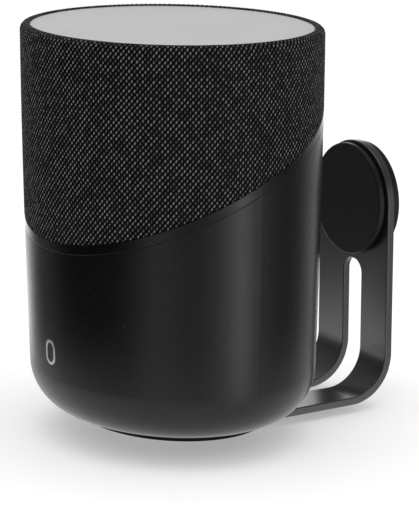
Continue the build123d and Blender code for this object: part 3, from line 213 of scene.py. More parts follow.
class ShaderGroups:
    """Shader node groups that several finishes share, each built once."""

    def __init__(self) -> None:
        """Build every shared group."""
        self.grain = self._grain()
        self.mottle = self._mottle()
        self.handling = self._handling()
        self.dust = self._dust()
        self.brushing = self._brushing()
        self.weave = self._weave()
        self.traces = self._traces()

    @staticmethod
    def _group(name: str, inputs: dict[str, tuple[str, object]],
               outputs: dict[str, str]) -> bpy.types.NodeTree:
        """Start a group with named sockets.

        Args:
            name: Name of the group.
            inputs: Socket type and default value for each input.
            outputs: Socket type for each output.

        Returns:
            The new node tree, with its input and output nodes in place.
        """
        tree = bpy.data.node_groups.new(name, "ShaderNodeTree")
        for label, (kind, value) in inputs.items():
            socket = tree.interface.new_socket(label, in_out="INPUT", socket_type=kind)
            if value is not None:
                socket.default_value = value
        for label, kind in outputs.items():
            tree.interface.new_socket(label, in_out="OUTPUT", socket_type=kind)
        tree.nodes.new("NodeGroupInput").name = "in"
        tree.nodes.new("NodeGroupOutput").name = "out"
        return tree

    @staticmethod
    def maths(tree: bpy.types.NodeTree, operation: str, *values: object) -> bpy.types.NodeSocket:
        """Add a Math node whose inputs are sockets or plain numbers.

        Args:
            tree: Node tree to add to.
            operation: Name of the Math node's operation.
            values: Sockets or numbers for its inputs.

        Returns:
            The node's output socket.
        """
        node = tree.nodes.new("ShaderNodeMath")
        node.operation = operation
        for i, value in enumerate(values):
            if isinstance(value, bpy.types.NodeSocket):
                tree.links.new(value, node.inputs[i])
            else:
                node.inputs[i].default_value = value
        return node.outputs[0]

    @staticmethod
    def noise(tree: bpy.types.NodeTree, vector: bpy.types.NodeSocket, scale: object,
              detail: float, roughness: float = 0.55) -> bpy.types.NodeSocket:
        """Add a Noise Texture node.

        Args:
            tree: Node tree to add to.
            vector: Coordinates to read.
            scale: Socket or number for the scale.
            detail: Number of octaves.
            roughness: Share that each octave keeps.

        Returns:
            The value output.
        """
        node = tree.nodes.new("ShaderNodeTexNoise")
        tree.links.new(vector, node.inputs["Vector"])
        if isinstance(scale, bpy.types.NodeSocket):
            tree.links.new(scale, node.inputs["Scale"])
        else:
            node.inputs["Scale"].default_value = scale
        node.inputs["Detail"].default_value = detail
        node.inputs["Roughness"].default_value = roughness
        return node.outputs["Fac"]

    @staticmethod
    def span(tree: bpy.types.NodeTree, value: bpy.types.NodeSocket, low: float, high: float,
             out_low: float = 0.0, out_high: float = 1.0) -> bpy.types.NodeSocket:
        """Add a Map Range node that is smooth and held at both ends.

        Args:
            tree: Node tree to add to.
            value: Value to map.
            low: Value that gives the low end.
            high: Value that gives the high end.
            out_low: Low end of the result.
            out_high: High end of the result.

        Returns:
            The mapped value.
        """
        node = tree.nodes.new("ShaderNodeMapRange")
        node.interpolation_type = "SMOOTHSTEP"
        tree.links.new(value, node.inputs["Value"])
        for label, number in (("From Min", low), ("From Max", high),
                              ("To Min", out_low), ("To Max", out_high)):
            node.inputs[label].default_value = number
        return node.outputs["Result"]

    def _grain(self) -> bpy.types.NodeTree:
        """Fine moulded grain: rounded pips between shallow valleys."""
        tree = self._group("FineGrain", {"Vector": ("NodeSocketVector", None),
                                         "Scale": ("NodeSocketFloat", 1600.0)},
                           {"Height": "NodeSocketFloat", "Mask": "NodeSocketFloat"})
        source, sink = tree.nodes["in"], tree.nodes["out"]
        cells = tree.nodes.new("ShaderNodeTexVoronoi")
        cells.feature = "SMOOTH_F1"
        tree.links.new(source.outputs["Vector"], cells.inputs["Vector"])
        tree.links.new(source.outputs["Scale"], cells.inputs["Scale"])
        pips = self.span(tree, cells.outputs["Distance"], 0.05, 0.75, 1.0, 0.0)
        wash = self.noise(tree, source.outputs["Vector"], 900.0, 3.0)
        raised_pips = self.maths(tree, "MULTIPLY", pips, 0.6)
        height = self.maths(tree, "MULTIPLY_ADD", wash, 0.4, raised_pips)
        tree.links.new(height, sink.inputs["Height"])
        tree.links.new(self.span(tree, height, 0.25, 0.8), sink.inputs["Mask"])
        return tree

    def _mottle(self) -> bpy.types.NodeTree:
        """Slow colour drift between a colour and its tint."""
        tree = self._group("Mottle", {"Vector": ("NodeSocketVector", None),
                                      "Colour": ("NodeSocketColor", (0.5, 0.5, 0.5, 1)),
                                      "Tint": ("NodeSocketColor", (0.4, 0.4, 0.4, 1)),
                                      "Scale": ("NodeSocketFloat", 24.0)},
                           {"Colour": "NodeSocketColor", "Drift": "NodeSocketFloat"})
        source, sink = tree.nodes["in"], tree.nodes["out"]
        broad = self.noise(tree, source.outputs["Vector"], source.outputs["Scale"], 4.0)
        fine_scale = self.maths(tree, "MULTIPLY", source.outputs["Scale"], 14.0)
        fine = self.noise(tree, source.outputs["Vector"], fine_scale, 2.0)
        broad_part = self.maths(tree, "MULTIPLY", broad, 0.65)
        blend = self.maths(tree, "MULTIPLY_ADD", fine, 0.35, broad_part)
        drift = self.span(tree, blend, 0.35, 0.65)
        mix = tree.nodes.new("ShaderNodeMix")
        mix.data_type = "RGBA"
        tree.links.new(drift, mix.inputs["Factor"])
        tree.links.new(source.outputs["Colour"], mix.inputs[6])
        tree.links.new(source.outputs["Tint"], mix.inputs[7])
        tree.links.new(mix.outputs[2], sink.inputs["Colour"])
        tree.links.new(drift, sink.inputs["Drift"])
        return tree

    def _handling(self) -> bpy.types.NodeTree:
        """Roughness that varies with faint smears and hairline scuffs."""
        tree = self._group("Handling", {"Vector": ("NodeSocketVector", None),
                                        "Roughness": ("NodeSocketFloat", 0.4),
                                        "Spread": ("NodeSocketFloat", 0.08)},
                           {"Roughness": "NodeSocketFloat", "Scuff": "NodeSocketFloat"})
        source, sink = tree.nodes["in"], tree.nodes["out"]
        smear = self.noise(tree, source.outputs["Vector"], 18.0, 5.0, 0.6)
        stretch = tree.nodes.new("ShaderNodeMapping")
        stretch.inputs["Rotation"].default_value = (0.3, 0.5, 0.9)
        stretch.inputs["Scale"].default_value = (9.0, 160.0, 30.0)
        tree.links.new(source.outputs["Vector"], stretch.inputs["Vector"])
        hair = self.noise(tree, stretch.outputs["Vector"], 6.0, 2.0, 0.5)
        scuff = self.span(tree, hair, 0.68, 0.76)
        centred = self.maths(tree, "SUBTRACT", smear, 0.5)
        swing = self.maths(tree, "MULTIPLY", centred, source.outputs["Spread"])
        rough = self.maths(tree, "MULTIPLY_ADD", swing, 2.0, source.outputs["Roughness"])
        scuffed = self.maths(tree, "MULTIPLY_ADD", scuff, 0.06, rough)
        tree.links.new(scuffed, sink.inputs["Roughness"])
        tree.links.new(scuff, sink.inputs["Scuff"])
        return tree

    def _dust(self) -> bpy.types.NodeTree:
        """Sparse settled specks, thicker on faces that look up."""
        tree = self._group("SettledDust", {"Vector": ("NodeSocketVector", None),
                                           "Amount": ("NodeSocketFloat", 0.15),
                                           "Colour": ("NodeSocketColor", (0.1, 0.1, 0.1, 1))},
                           {"Colour": "NodeSocketColor", "Mask": "NodeSocketFloat"})
        source, sink = tree.nodes["in"], tree.nodes["out"]
        facing = tree.nodes.new("ShaderNodeNewGeometry")
        split = tree.nodes.new("ShaderNodeSeparateXYZ")
        tree.links.new(facing.outputs["Normal"], split.inputs[0])
        upward = self.span(tree, split.outputs["Z"], 0.2, 1.0, 0.25, 1.0)
        specks = self.span(tree, self.noise(tree, source.outputs["Vector"], 700.0, 2.0), 0.66, 0.74)
        amount = self.maths(tree, "MULTIPLY", specks, source.outputs["Amount"])
        mask = self.maths(tree, "MULTIPLY", amount, upward)
        mix = tree.nodes.new("ShaderNodeMix")
        mix.data_type = "RGBA"
        tree.links.new(mask, mix.inputs["Factor"])
        tree.links.new(source.outputs["Colour"], mix.inputs[6])
        mix.inputs[7].default_value = (0.45, 0.44, 0.42, 1.0)
        tree.links.new(mix.outputs[2], sink.inputs["Colour"])
        tree.links.new(mask, sink.inputs["Mask"])
        return tree

    def _brushing(self) -> bpy.types.NodeTree:
        """Long fine lines left by turning or brushing."""
        tree = self._group("BrushedLines", {"Vector": ("NodeSocketVector", None),
                                            "Stretch": ("NodeSocketVector", (20.0, 1400.0, 1400.0))},
                           {"Height": "NodeSocketFloat"})
        source, sink = tree.nodes["in"], tree.nodes["out"]
        scaled = tree.nodes.new("ShaderNodeVectorMath")
        scaled.operation = "MULTIPLY"
        tree.links.new(source.outputs["Vector"], scaled.inputs[0])
        tree.links.new(source.outputs["Stretch"], scaled.inputs[1])
        lines = self.noise(tree, scaled.outputs[0], 1.0, 3.0, 0.6)
        tree.links.new(lines, sink.inputs["Height"])
        return tree

    def _weave(self) -> bpy.types.NodeTree:
        """Plain weave counted in cells: raised floats on every other cell, with thread lines."""
        tree = self._group("PlainWeave", {"Cells": ("NodeSocketVector", None),
                                          "Lean": ("NodeSocketFloat", 0.3)},
                           {"Float": "NodeSocketFloat", "Thread": "NodeSocketFloat",
                            "Shade": "NodeSocketFloat"})
        source, sink = tree.nodes["in"], tree.nodes["out"]
        split = tree.nodes.new("ShaderNodeSeparateXYZ")
        tree.links.new(source.outputs["Cells"], split.inputs[0])
        jitter = self.noise(tree, source.outputs["Cells"], 0.35, 2.0)
        nudge = self.maths(tree, "MULTIPLY", self.maths(tree, "SUBTRACT", jitter, 0.5), 0.5)
        across = self.maths(tree, "ADD", split.outputs["X"], nudge)
        upright = self.maths(tree, "ADD", split.outputs["Y"], nudge)
        row = self.maths(tree, "FRACT", self.maths(tree, "ADD", upright, 0.5))
        offset = self.maths(tree, "SUBTRACT", row, 0.5)
        swing = self.maths(tree, "MULTIPLY", offset, source.outputs["Lean"])
        leaning = self.maths(tree, "SUBTRACT", across, swing)
        wave_x = self.maths(tree, "COSINE", self.maths(tree, "MULTIPLY", leaning, math.pi))
        wave_y = self.maths(tree, "COSINE", self.maths(tree, "MULTIPLY", upright, math.pi))
        raised = self.maths(tree, "GREATER_THAN", self.maths(tree, "MULTIPLY", wave_x, wave_y), 0.0)
        narrow = self.maths(tree, "POWER", self.maths(tree, "ABSOLUTE", wave_x), 1.4)
        tall = self.maths(tree, "POWER", self.maths(tree, "ABSOLUTE", wave_y), 0.45)
        oval = self.maths(tree, "MULTIPLY", narrow, tall)
        floats = self.span(tree, self.maths(tree, "MULTIPLY", oval, raised), 0.15, 0.9)
        tree.links.new(floats, sink.inputs["Float"])
        strands = self.noise(tree, source.outputs["Cells"], 7.0, 2.0)
        ply = self.maths(tree, "MULTIPLY", across, 6.0 * math.pi)
        twist = self.maths(tree, "SINE", self.maths(tree, "MULTIPLY_ADD", upright, 5.0, ply))
        thread = self.maths(tree, "MULTIPLY_ADD", twist, 0.15, strands)
        tree.links.new(thread, sink.inputs["Thread"])
        cell = tree.nodes.new("ShaderNodeTexWhiteNoise")
        cell.noise_dimensions = "2D"
        centred = tree.nodes.new("ShaderNodeVectorMath")
        centred.inputs[1].default_value = (0.5, 0.5, 0.5)
        tree.links.new(source.outputs["Cells"], centred.inputs[0])
        snap = tree.nodes.new("ShaderNodeVectorMath")
        snap.operation = "FLOOR"
        tree.links.new(centred.outputs[0], snap.inputs[0])
        tree.links.new(snap.outputs[0], cell.inputs["Vector"])
        tree.links.new(cell.outputs["Value"], sink.inputs["Shade"])
        return tree

    def _traces(self) -> bpy.types.NodeTree:
        """Printed tracks of a circuit board."""
        tree = self._group("BoardTracks", {"Vector": ("NodeSocketVector", None)},
                           {"Track": "NodeSocketFloat", "Pad": "NodeSocketFloat"})
        source, sink = tree.nodes["in"], tree.nodes["out"]
        bricks = tree.nodes.new("ShaderNodeTexBrick")
        bricks.inputs["Scale"].default_value = 60.0
        bricks.inputs["Mortar Size"].default_value = 0.03
        tree.links.new(source.outputs["Vector"], bricks.inputs["Vector"])
        tree.links.new(bricks.outputs["Fac"], sink.inputs["Track"])
        pads = tree.nodes.new("ShaderNodeTexVoronoi")
        pads.inputs["Scale"].default_value = 240.0
        tree.links.new(source.outputs["Vector"], pads.inputs["Vector"])
        tree.links.new(self.span(tree, pads.outputs["Distance"], 0.18, 0.12), sink.inputs["Pad"])
        return tree


class MaterialMaker:
    """Turns finishes into materials, with the shared groups placed in each."""

    def __init__(self, groups: ShaderGroups) -> None:
        """Keep the shared groups.

        Args:
            groups: Node groups that the materials use.
        """
        self.groups = groups

    def _start(self, name: str) -> tuple[bpy.types.Material, bpy.types.NodeTree, bpy.types.Node]:
        """Start a material with an empty Principled BSDF.

        Args:
            name: Name of the material.

        Returns:
            The material, its node tree and its Principled node.
        """
        material = bpy.data.materials.new(name)
        material.use_nodes = True
        tree = material.node_tree
        return material, tree, tree.nodes["Principled BSDF"]

    def _place(self, tree: bpy.types.NodeTree, group: bpy.types.NodeTree,
               **values: object) -> bpy.types.Node:
        """Place a shared group in a material.

        Args:
            tree: The material's tree.
            group: The shared group.
            values: Sockets or plain values by input name, with _ for a space.

        Returns:
            The group node.
        """
        node = tree.nodes.new("ShaderNodeGroup")
        node.node_tree = group
        for label, value in values.items():
            socket = node.inputs[label.replace("_", " ")]
            if isinstance(value, bpy.types.NodeSocket):
                tree.links.new(value, socket)
            else:
                socket.default_value = value
        return node

    def _bump(self, tree: bpy.types.NodeTree, shader: bpy.types.Node,
              height: bpy.types.NodeSocket, distance: float, strength: float = 1.0,
              rounding: float = 0.0) -> None:
        """Feed a height into the shader's normal.

        Args:
            tree: The material's tree.
            shader: The Principled node.
            height: Height from 0 to 1.
            distance: What a height of 1 stands for, in metres.
            strength: Share of the bump that shows.
            rounding: Radius of the softened edges, in metres.
        """
        bump = tree.nodes.new("ShaderNodeBump")
        bump.inputs["Distance"].default_value = distance
        bump.inputs["Strength"].default_value = strength
        if rounding > 0.0:
            bevel = tree.nodes.new("ShaderNodeBevel")
            bevel.samples = 6
            bevel.inputs["Radius"].default_value = rounding
            tree.links.new(bevel.outputs["Normal"], bump.inputs["Normal"])
        tree.links.new(height, bump.inputs["Height"])
        tree.links.new(bump.outputs["Normal"], shader.inputs["Normal"])

    def make(self, finish: Finish) -> bpy.types.Material:
        """Build the material of one finish.

        Args:
            finish: What the material is made like.

        Returns:
            The material.
        """
        groups = self.groups
        material, tree, shader = self._start(finish.slot)
        place = tree.nodes.new("ShaderNodeTexCoord").outputs["Object"]
        shader.inputs["Metallic"].default_value = finish.metallic
        shader.inputs["Specular IOR Level"].default_value = finish.specular
        shader.inputs["Coat Weight"].default_value = finish.coat
        shader.inputs["Coat Roughness"].default_value = finish.coat_roughness
        shader.inputs["Sheen Weight"].default_value = finish.sheen
        mottle = self._place(tree, groups.mottle, Vector=place, Colour=(*finish.colour, 1.0),
                             Tint=(*finish.tint, 1.0))
        colour = mottle.outputs["Colour"]
        grain = self._place(tree, groups.grain, Vector=place, Scale=1.0 / finish.grain)
        height = grain.outputs["Height"]
        if finish.surface is Surface.BRUSHED:
            height = self._place(tree, groups.brushing, Vector=place).outputs["Height"]
        elif finish.surface is Surface.WOVEN:
            cells = tree.nodes.new("ShaderNodeVectorMath")
            cells.operation = "SCALE"
            cells.inputs["Scale"].default_value = 1.0 / finish.grain
            tree.links.new(place, cells.inputs[0])
            weave = self._place(tree, groups.weave, Cells=cells.outputs[0])
            height = weave.outputs["Float"]
        elif finish.surface is Surface.BOARD:
            colour, height = self._board_tracks(tree, place, colour)
        elif finish.surface in (Surface.POLISHED, Surface.LENS):
            height = groups.noise(tree, place, 60.0, 2.0)
        dust = self._place(tree, groups.dust, Vector=place, Amount=finish.dust, Colour=colour)
        tree.links.new(dust.outputs["Colour"], shader.inputs["Base Color"])
        spread = 0.03 if finish.surface in (Surface.POLISHED, Surface.LENS) else 0.08
        handling = self._place(tree, groups.handling, Vector=place, Roughness=finish.roughness,
                               Spread=spread)
        tree.links.new(handling.outputs["Roughness"], shader.inputs["Roughness"])
        self._bump(tree, shader, height, finish.depth, rounding=finish.edge)
        return material

    def _board_tracks(self, tree: bpy.types.NodeTree, place: bpy.types.NodeSocket,
                      colour: bpy.types.NodeSocket) -> tuple:
        """Print tracks and pads on a board's colour.

        Args:
            tree: The material's tree.
            place: Coordinates.
            colour: The board's own colour.

        Returns:
            The printed colour and the height.
        """
        tracks = self._place(tree, self.groups.traces, Vector=place)
        lighter = tree.nodes.new("ShaderNodeMix")
        lighter.data_type = "RGBA"
        tree.links.new(tracks.outputs["Track"], lighter.inputs["Factor"])
        tree.links.new(colour, lighter.inputs[6])
        lighter.inputs[7].default_value = (0.05, 0.22, 0.1, 1.0)
        padded = tree.nodes.new("ShaderNodeMix")
        padded.data_type = "RGBA"
        tree.links.new(tracks.outputs["Pad"], padded.inputs["Factor"])
        tree.links.new(lighter.outputs[2], padded.inputs[6])
        padded.inputs[7].default_value = (0.7, 0.68, 0.62, 1.0)
        return padded.outputs[2], tracks.outputs["Track"]


@dataclass(frozen=True)
class ClothFinish:
    """The grille cloth: black yarn, with painted shade in the ground between the floats and a
    painted highlight on the raised floats.
    """

    slot: str = "grille_cloth"
    # Painted light: the ground is the yarn's own black deepened by painted shade between the floats,
    # and the paler float grey is a painted highlight on the raised floats.
    dark_yarn_and_painted_shade: Colour = (0.0009, 0.0009, 0.001)
    floats: Colour = (0.165, 0.165, 0.166)
    roughness: float = 0.8
    relief: float = 0.0004

    def make(self, maker: MaterialMaker) -> bpy.types.Material:
        """Build the cloth's material, which follows the cloth's own weave map.

        Args:
            maker: Maker that holds the shared groups.

        Returns:
            The material.
        """
        material, tree, shader = maker._start(self.slot)
        cells = tree.nodes.new("ShaderNodeUVMap")
        cells.uv_map = "weave"
        weave = maker._place(tree, maker.groups.weave, Cells=cells.outputs["UV"])
        float_relief_and_highlight = weave.outputs["Float"]
        varied = ShaderGroups.span(tree, weave.outputs["Shade"], 0.0, 1.0, 0.35, 1.2)
        strands = ShaderGroups.span(tree, weave.outputs["Thread"], 0.2, 0.8, 0.65, 1.1)
        # Painted highlight: the float mask, varied per cell and along the threads, mixes the colour
        # from the shaded ground up to the pale float grey.
        share = ShaderGroups.maths(tree, "MULTIPLY", float_relief_and_highlight, varied)
        share = ShaderGroups.maths(tree, "MULTIPLY", share, strands)
        mix = tree.nodes.new("ShaderNodeMix")
        mix.data_type = "RGBA"
        tree.links.new(share, mix.inputs["Factor"])
        mix.inputs[6].default_value = (*self.dark_yarn_and_painted_shade, 1.0)
        mix.inputs[7].default_value = (*self.floats, 1.0)
        tree.links.new(mix.outputs[2], shader.inputs["Base Color"])
        rough = ShaderGroups.span(tree, weave.outputs["Thread"], 0.2, 0.8, self.roughness - 0.1,
                                  self.roughness + 0.1)
        tree.links.new(rough, shader.inputs["Roughness"])
        shader.inputs["Specular IOR Level"].default_value = 0.15
        height = ShaderGroups.maths(tree, "MULTIPLY_ADD", weave.outputs["Thread"], 0.25, float_relief_and_highlight)
        maker._bump(tree, shader, height, self.relief)
        return material


FINISHES: tuple[Finish, ...] = (
    Finish("shell_plastic", Surface.MOULDED, (0.0024, 0.0024, 0.0025), (0.0017, 0.0017, 0.0018),
           0.28, grain=0.0005, depth=0.000006, specular=0.44),
    Finish("trim_plastic", Surface.MOULDED, (0.002, 0.002, 0.0021), (0.0015, 0.0015, 0.0016),
           0.24, grain=0.0005, depth=0.000003, coat=0.2, specular=0.34),
    Finish("inner_plastic", Surface.MOULDED, (0.02, 0.02, 0.022), (0.016, 0.016, 0.018), 0.55),
    # touch_lens: a mid grey that is partly the top panel's own tone and partly a painted reflection
    # of the overhead light on its glossy top.
    Finish("touch_lens", Surface.LENS, (0.4, 0.4, 0.4), (0.385, 0.385, 0.387), 0.5,
           depth=0.00001, specular=0.15, dust=0.05),
    Finish("badge_metal", Surface.POLISHED, (0.82, 0.82, 0.83), (0.72, 0.72, 0.74), 0.14,
           metallic=1.0, depth=0.000004, dust=0.05),
    Finish("foot_rubber", Surface.RUBBERY, (0.004, 0.004, 0.004), (0.003, 0.003, 0.003), 0.6,
           grain=0.0008, depth=0.00003, specular=0.12),
    Finish("bracket_paint", Surface.COATED, (0.012, 0.012, 0.0122), (0.009, 0.009, 0.0092), 0.3,
           grain=0.0007, depth=0.000012, coat=0.4, coat_roughness=0.28, specular=1.0),
    Finish("disc_paint", Surface.COATED, (0.006, 0.006, 0.0062), (0.0045, 0.0045, 0.0047), 0.34,
           grain=0.0006, depth=0.000012, specular=0.35),
    Finish("steel", Surface.BRUSHED, (0.5, 0.5, 0.5), (0.42, 0.42, 0.43), 0.32, metallic=1.0,
           depth=0.00001),
    Finish("brass", Surface.BRUSHED, (0.72, 0.52, 0.22), (0.6, 0.42, 0.16), 0.3, metallic=1.0,
           depth=0.00001),
    Finish("aluminium", Surface.BRUSHED, (0.62, 0.62, 0.64), (0.55, 0.55, 0.57), 0.35,
           metallic=1.0, depth=0.00001),
    Finish("magnet_ferrite", Surface.COATED, (0.03, 0.03, 0.032), (0.022, 0.022, 0.024), 0.6),
    Finish("circuit_board", Surface.BOARD, (0.01, 0.09, 0.035), (0.008, 0.07, 0.028), 0.35,
           depth=0.00003),
    Finish("board_parts", Surface.MOULDED, (0.02, 0.02, 0.022), (0.03, 0.03, 0.032), 0.5),
    Finish("cone_paper", Surface.FIBRE, (0.03, 0.03, 0.03), (0.045, 0.044, 0.042), 0.85,
           grain=0.0011, depth=0.00008),
    Finish("dome_silk", Surface.WOVEN, (0.05, 0.05, 0.055), (0.035, 0.035, 0.04), 0.6,
           grain=0.0004, depth=0.00003),
    Finish("coil_copper", Surface.BRUSHED, (0.7, 0.32, 0.18), (0.55, 0.24, 0.12), 0.3,
           metallic=1.0, depth=0.00001),
    Finish("gasket_foam", Surface.RUBBERY, (0.03, 0.03, 0.03), (0.02, 0.02, 0.02), 0.9,
           grain=0.0009, depth=0.0001),
    Finish("light_acrylic", Surface.LENS, (0.75, 0.76, 0.78), (0.7, 0.72, 0.75), 0.4,
           depth=0.00001),
    Finish("socket_plastic", Surface.MOULDED, (0.012, 0.012, 0.012), (0.009, 0.009, 0.009), 0.45,
           grain=0.0005, depth=0.00001),
    Finish("wire_cover", Surface.RUBBERY, (0.3, 0.02, 0.02), (0.22, 0.015, 0.015), 0.5,
           depth=0.00001),
    Finish("ribbon_film", Surface.BRUSHED, (0.6, 0.26, 0.05), (0.5, 0.2, 0.04), 0.3,
           depth=0.00001),
    Finish("washer_fibre", Surface.FIBRE, (0.05, 0.045, 0.04), (0.035, 0.032, 0.03), 0.85,
           depth=0.00005),
)


# ---------------------------------------------------------------- grille cloth
@dataclass
class GrilleCloth:
    """Woven cloth stretched over the grille frame, tucked in at the seam and at the rim."""

    form: BodyForm
    cell_width: float = 0.0017
    cell_height: float = 0.00195
    relief: float = 0.00022
    seam_height: float = 0.167
    seam_drop: float = 0.0002
    rim_radius: float = 0.004
    rim_steps: int = 6
    panel_gap: float = 0.006
    tuck_depth: float = 0.0022
    start_drop: float = 0.046
    rings: list[tuple[float, float]] = field(default_factory=list)

    @property
    def cells_around(self) -> int:
        """Even number of cells in one turn of the cloth."""
        return 2 * round(self.form.girth / self.cell_width / 2)

    def _plan_rings(self) -> None:
        """List the rings of the cloth, from below the seam over the rim, as (height, inset)."""
        top = self.form.height
        low = self.seam_height - self.start_drop
        side = top - self.rim_radius - low
        steps = 2 * round(side / self.cell_height)
        self.rings = [(low + side * i / steps, 0.0) for i in range(steps + 1)]
        for i in range(1, self.rim_steps + 1):
            turn = math.pi / 2 * i / self.rim_steps
            height = top - self.rim_radius * (1 - math.sin(turn))
            self.rings.append((height, self.rim_radius * (1 - math.cos(turn))))
        self.rings.append((top, (self.rim_radius + self.panel_gap) / 2))
        self.rings.append((top, self.panel_gap - self.relief))
        self.rings.append((top - self.tuck_depth, self.panel_gap))

    def build(self) -> bpy.types.Object:
        """Raise the cloth ring by ring, weave its relief and cut it along the seam.

        Returns:
            The finished cloth.
        """
        self._plan_rings()
        around = 2 * self.cells_around
        height, inset = self.rings[0]
        deselect_all()
        bpy.ops.mesh.primitive_circle_add(vertices=around, radius=1.0, fill_type="NOTHING",
                                          location=self.form.centre(height))
        cloth = bpy.context.object
        cloth.name = "grille_cloth"
        across, deep = self.form.semi_axes(height, inset)
        cloth.scale = (across, deep, 1.0)
        settle(cloth)
        open_for_editing(cloth, "EDGE")
        for next_height, next_inset in self.rings[1:]:
            rise = next_height - height
            bpy.ops.mesh.extrude_edges_move(TRANSFORM_OT_translate={"value": (0.0, 0.0, rise)})
            next_across, next_deep = self.form.semi_axes(next_height, next_inset)
            bpy.ops.transform.resize(value=(next_across / across, next_deep / deep, 1.0),
                                     center_override=self.form.centre(next_height))
            height, across, deep = next_height, next_across, next_deep
        close_editing()
        self._map_weave(cloth, around)
        self._raise_floats(cloth, around)
        self._cut_seam(cloth)
        return cloth

    def _map_weave(self, cloth: bpy.types.Object, around: int) -> None:
        """Write the weave map: cells around by cells up.

        Args:
            cloth: The cloth, whose vertices still run ring by ring.
            around: Vertices in one ring.
        """
        weave = cloth.data.uv_layers.new(name="weave")
        loops = cloth.data.loops
        for face in cloth.data.polygons:
            columns = [loops[i].vertex_index % around for i in face.loop_indices]
            wraps = max(columns) - min(columns) > around / 2
            for i, column in zip(face.loop_indices, columns):
                if wraps and column < around / 2:
                    column += around
                ring = loops[i].vertex_index // around
                weave.data[i].uv = (column / 2, ring / 2)

    def _raise_floats(self, cloth: bpy.types.Object, around: int) -> None:
        """Raise the middle of every other cell and sink the cells between.

        Args:
            cloth: The cloth, whose vertices still run ring by ring.
            around: Vertices in one ring.
        """
        last = len(self.rings) - 2
        for parity, push in ((0, self.relief), (1, -self.relief)):
            def wanted(vertex: bpy.types.MeshVertex, parity: int = parity) -> bool:
                """Whether a vertex is the middle of a cell of this parity."""
                ring, column = divmod(vertex.index, around)
                if ring % 2 or column % 2 or ring >= last:
                    return False
                return (ring // 2 + column // 2) % 2 == parity
            choose_vertices(cloth, wanted)
            deselect_and_open(cloth)
            bpy.ops.transform.shrink_fatten(value=push)
            close_editing()

    def _cut_seam(self, cloth: bpy.types.Object) -> None:
        """Cut away the cloth below the slanted seam and turn its edge in.

        Args:
            cloth: The woven cloth.
        """
        open_for_editing(cloth)
        seam = self.form.centre(self.seam_height + self.seam_drop)
        bpy.ops.mesh.bisect(plane_co=seam, plane_no=(0.0, -self.form.slope, 1.0),
                            clear_inner=True)
        bpy.ops.mesh.extrude_edges_move(TRANSFORM_OT_translate={"value": (0.0, 0.0, 0.0)})
        share = 1 - self.tuck_depth / 2 / self.form.half_sizes[1]
        bpy.ops.transform.resize(value=(share, share, 1.0), center_override=seam)
        bpy.ops.mesh.select_all(action="SELECT")
        bpy.ops.mesh.normals_make_consistent(inside=False)
        close_editing()
        deselect_all()
        cloth.select_set(True)
        bpy.context.view_layer.objects.active = cloth
        bpy.ops.object.shade_smooth()

    def dress(self, cloth: bpy.types.Object, maker: MaterialMaker) -> None:
        """Give the cloth its material and its place in the frame.

        Args:
            cloth: The finished cloth.
            maker: Maker of materials.
        """
        cloth.data.materials.append(ClothFinish().make(maker))
        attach(cloth, "speaker")
        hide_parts("grille_fabric")


def deselect_and_open(piece: bpy.types.Object) -> None:
    """Open a mesh in edit mode and keep the selection it was given.

    Args:
        piece: The mesh object to edit.
    """
    chosen = [vertex.select for vertex in piece.data.vertices]
    deselect_all()
    piece.select_set(True)
    bpy.context.view_layer.objects.active = piece
    piece.data.vertices.foreach_set("select", chosen)
    bpy.ops.object.mode_set(mode="EDIT")
    bpy.ops.mesh.select_mode(type="VERT")


# ---------------------------------------------------------------- studio
@dataclass(frozen=True)
class SoftBox:
    """One area light, placed by azimuth and height around the speaker and aimed at it."""

    name: str
    azimuth_deg: float
    distance: float
    height: float
    width: float
    tall: float
    power: float

    def build(self, target: Vector) -> None:
        """Add the light.

        Args:
            target: Point that it faces.
        """
        data = bpy.data.lights.new(self.name, "AREA")
        data.shape = "RECTANGLE"
        data.size, data.size_y, data.energy = self.width, self.tall, self.power
        lamp = bpy.data.objects.new(self.name, data)
        turn = math.radians(self.azimuth_deg)
        offset = Vector((math.sin(turn), -math.cos(turn), 0.0)) * self.distance
        lamp.location = target + offset + Vector((0.0, 0.0, self.height))
        lamp.rotation_euler = (target - lamp.location).to_track_quat("-Z", "Y").to_euler()
        bpy.context.scene.collection.objects.link(lamp)


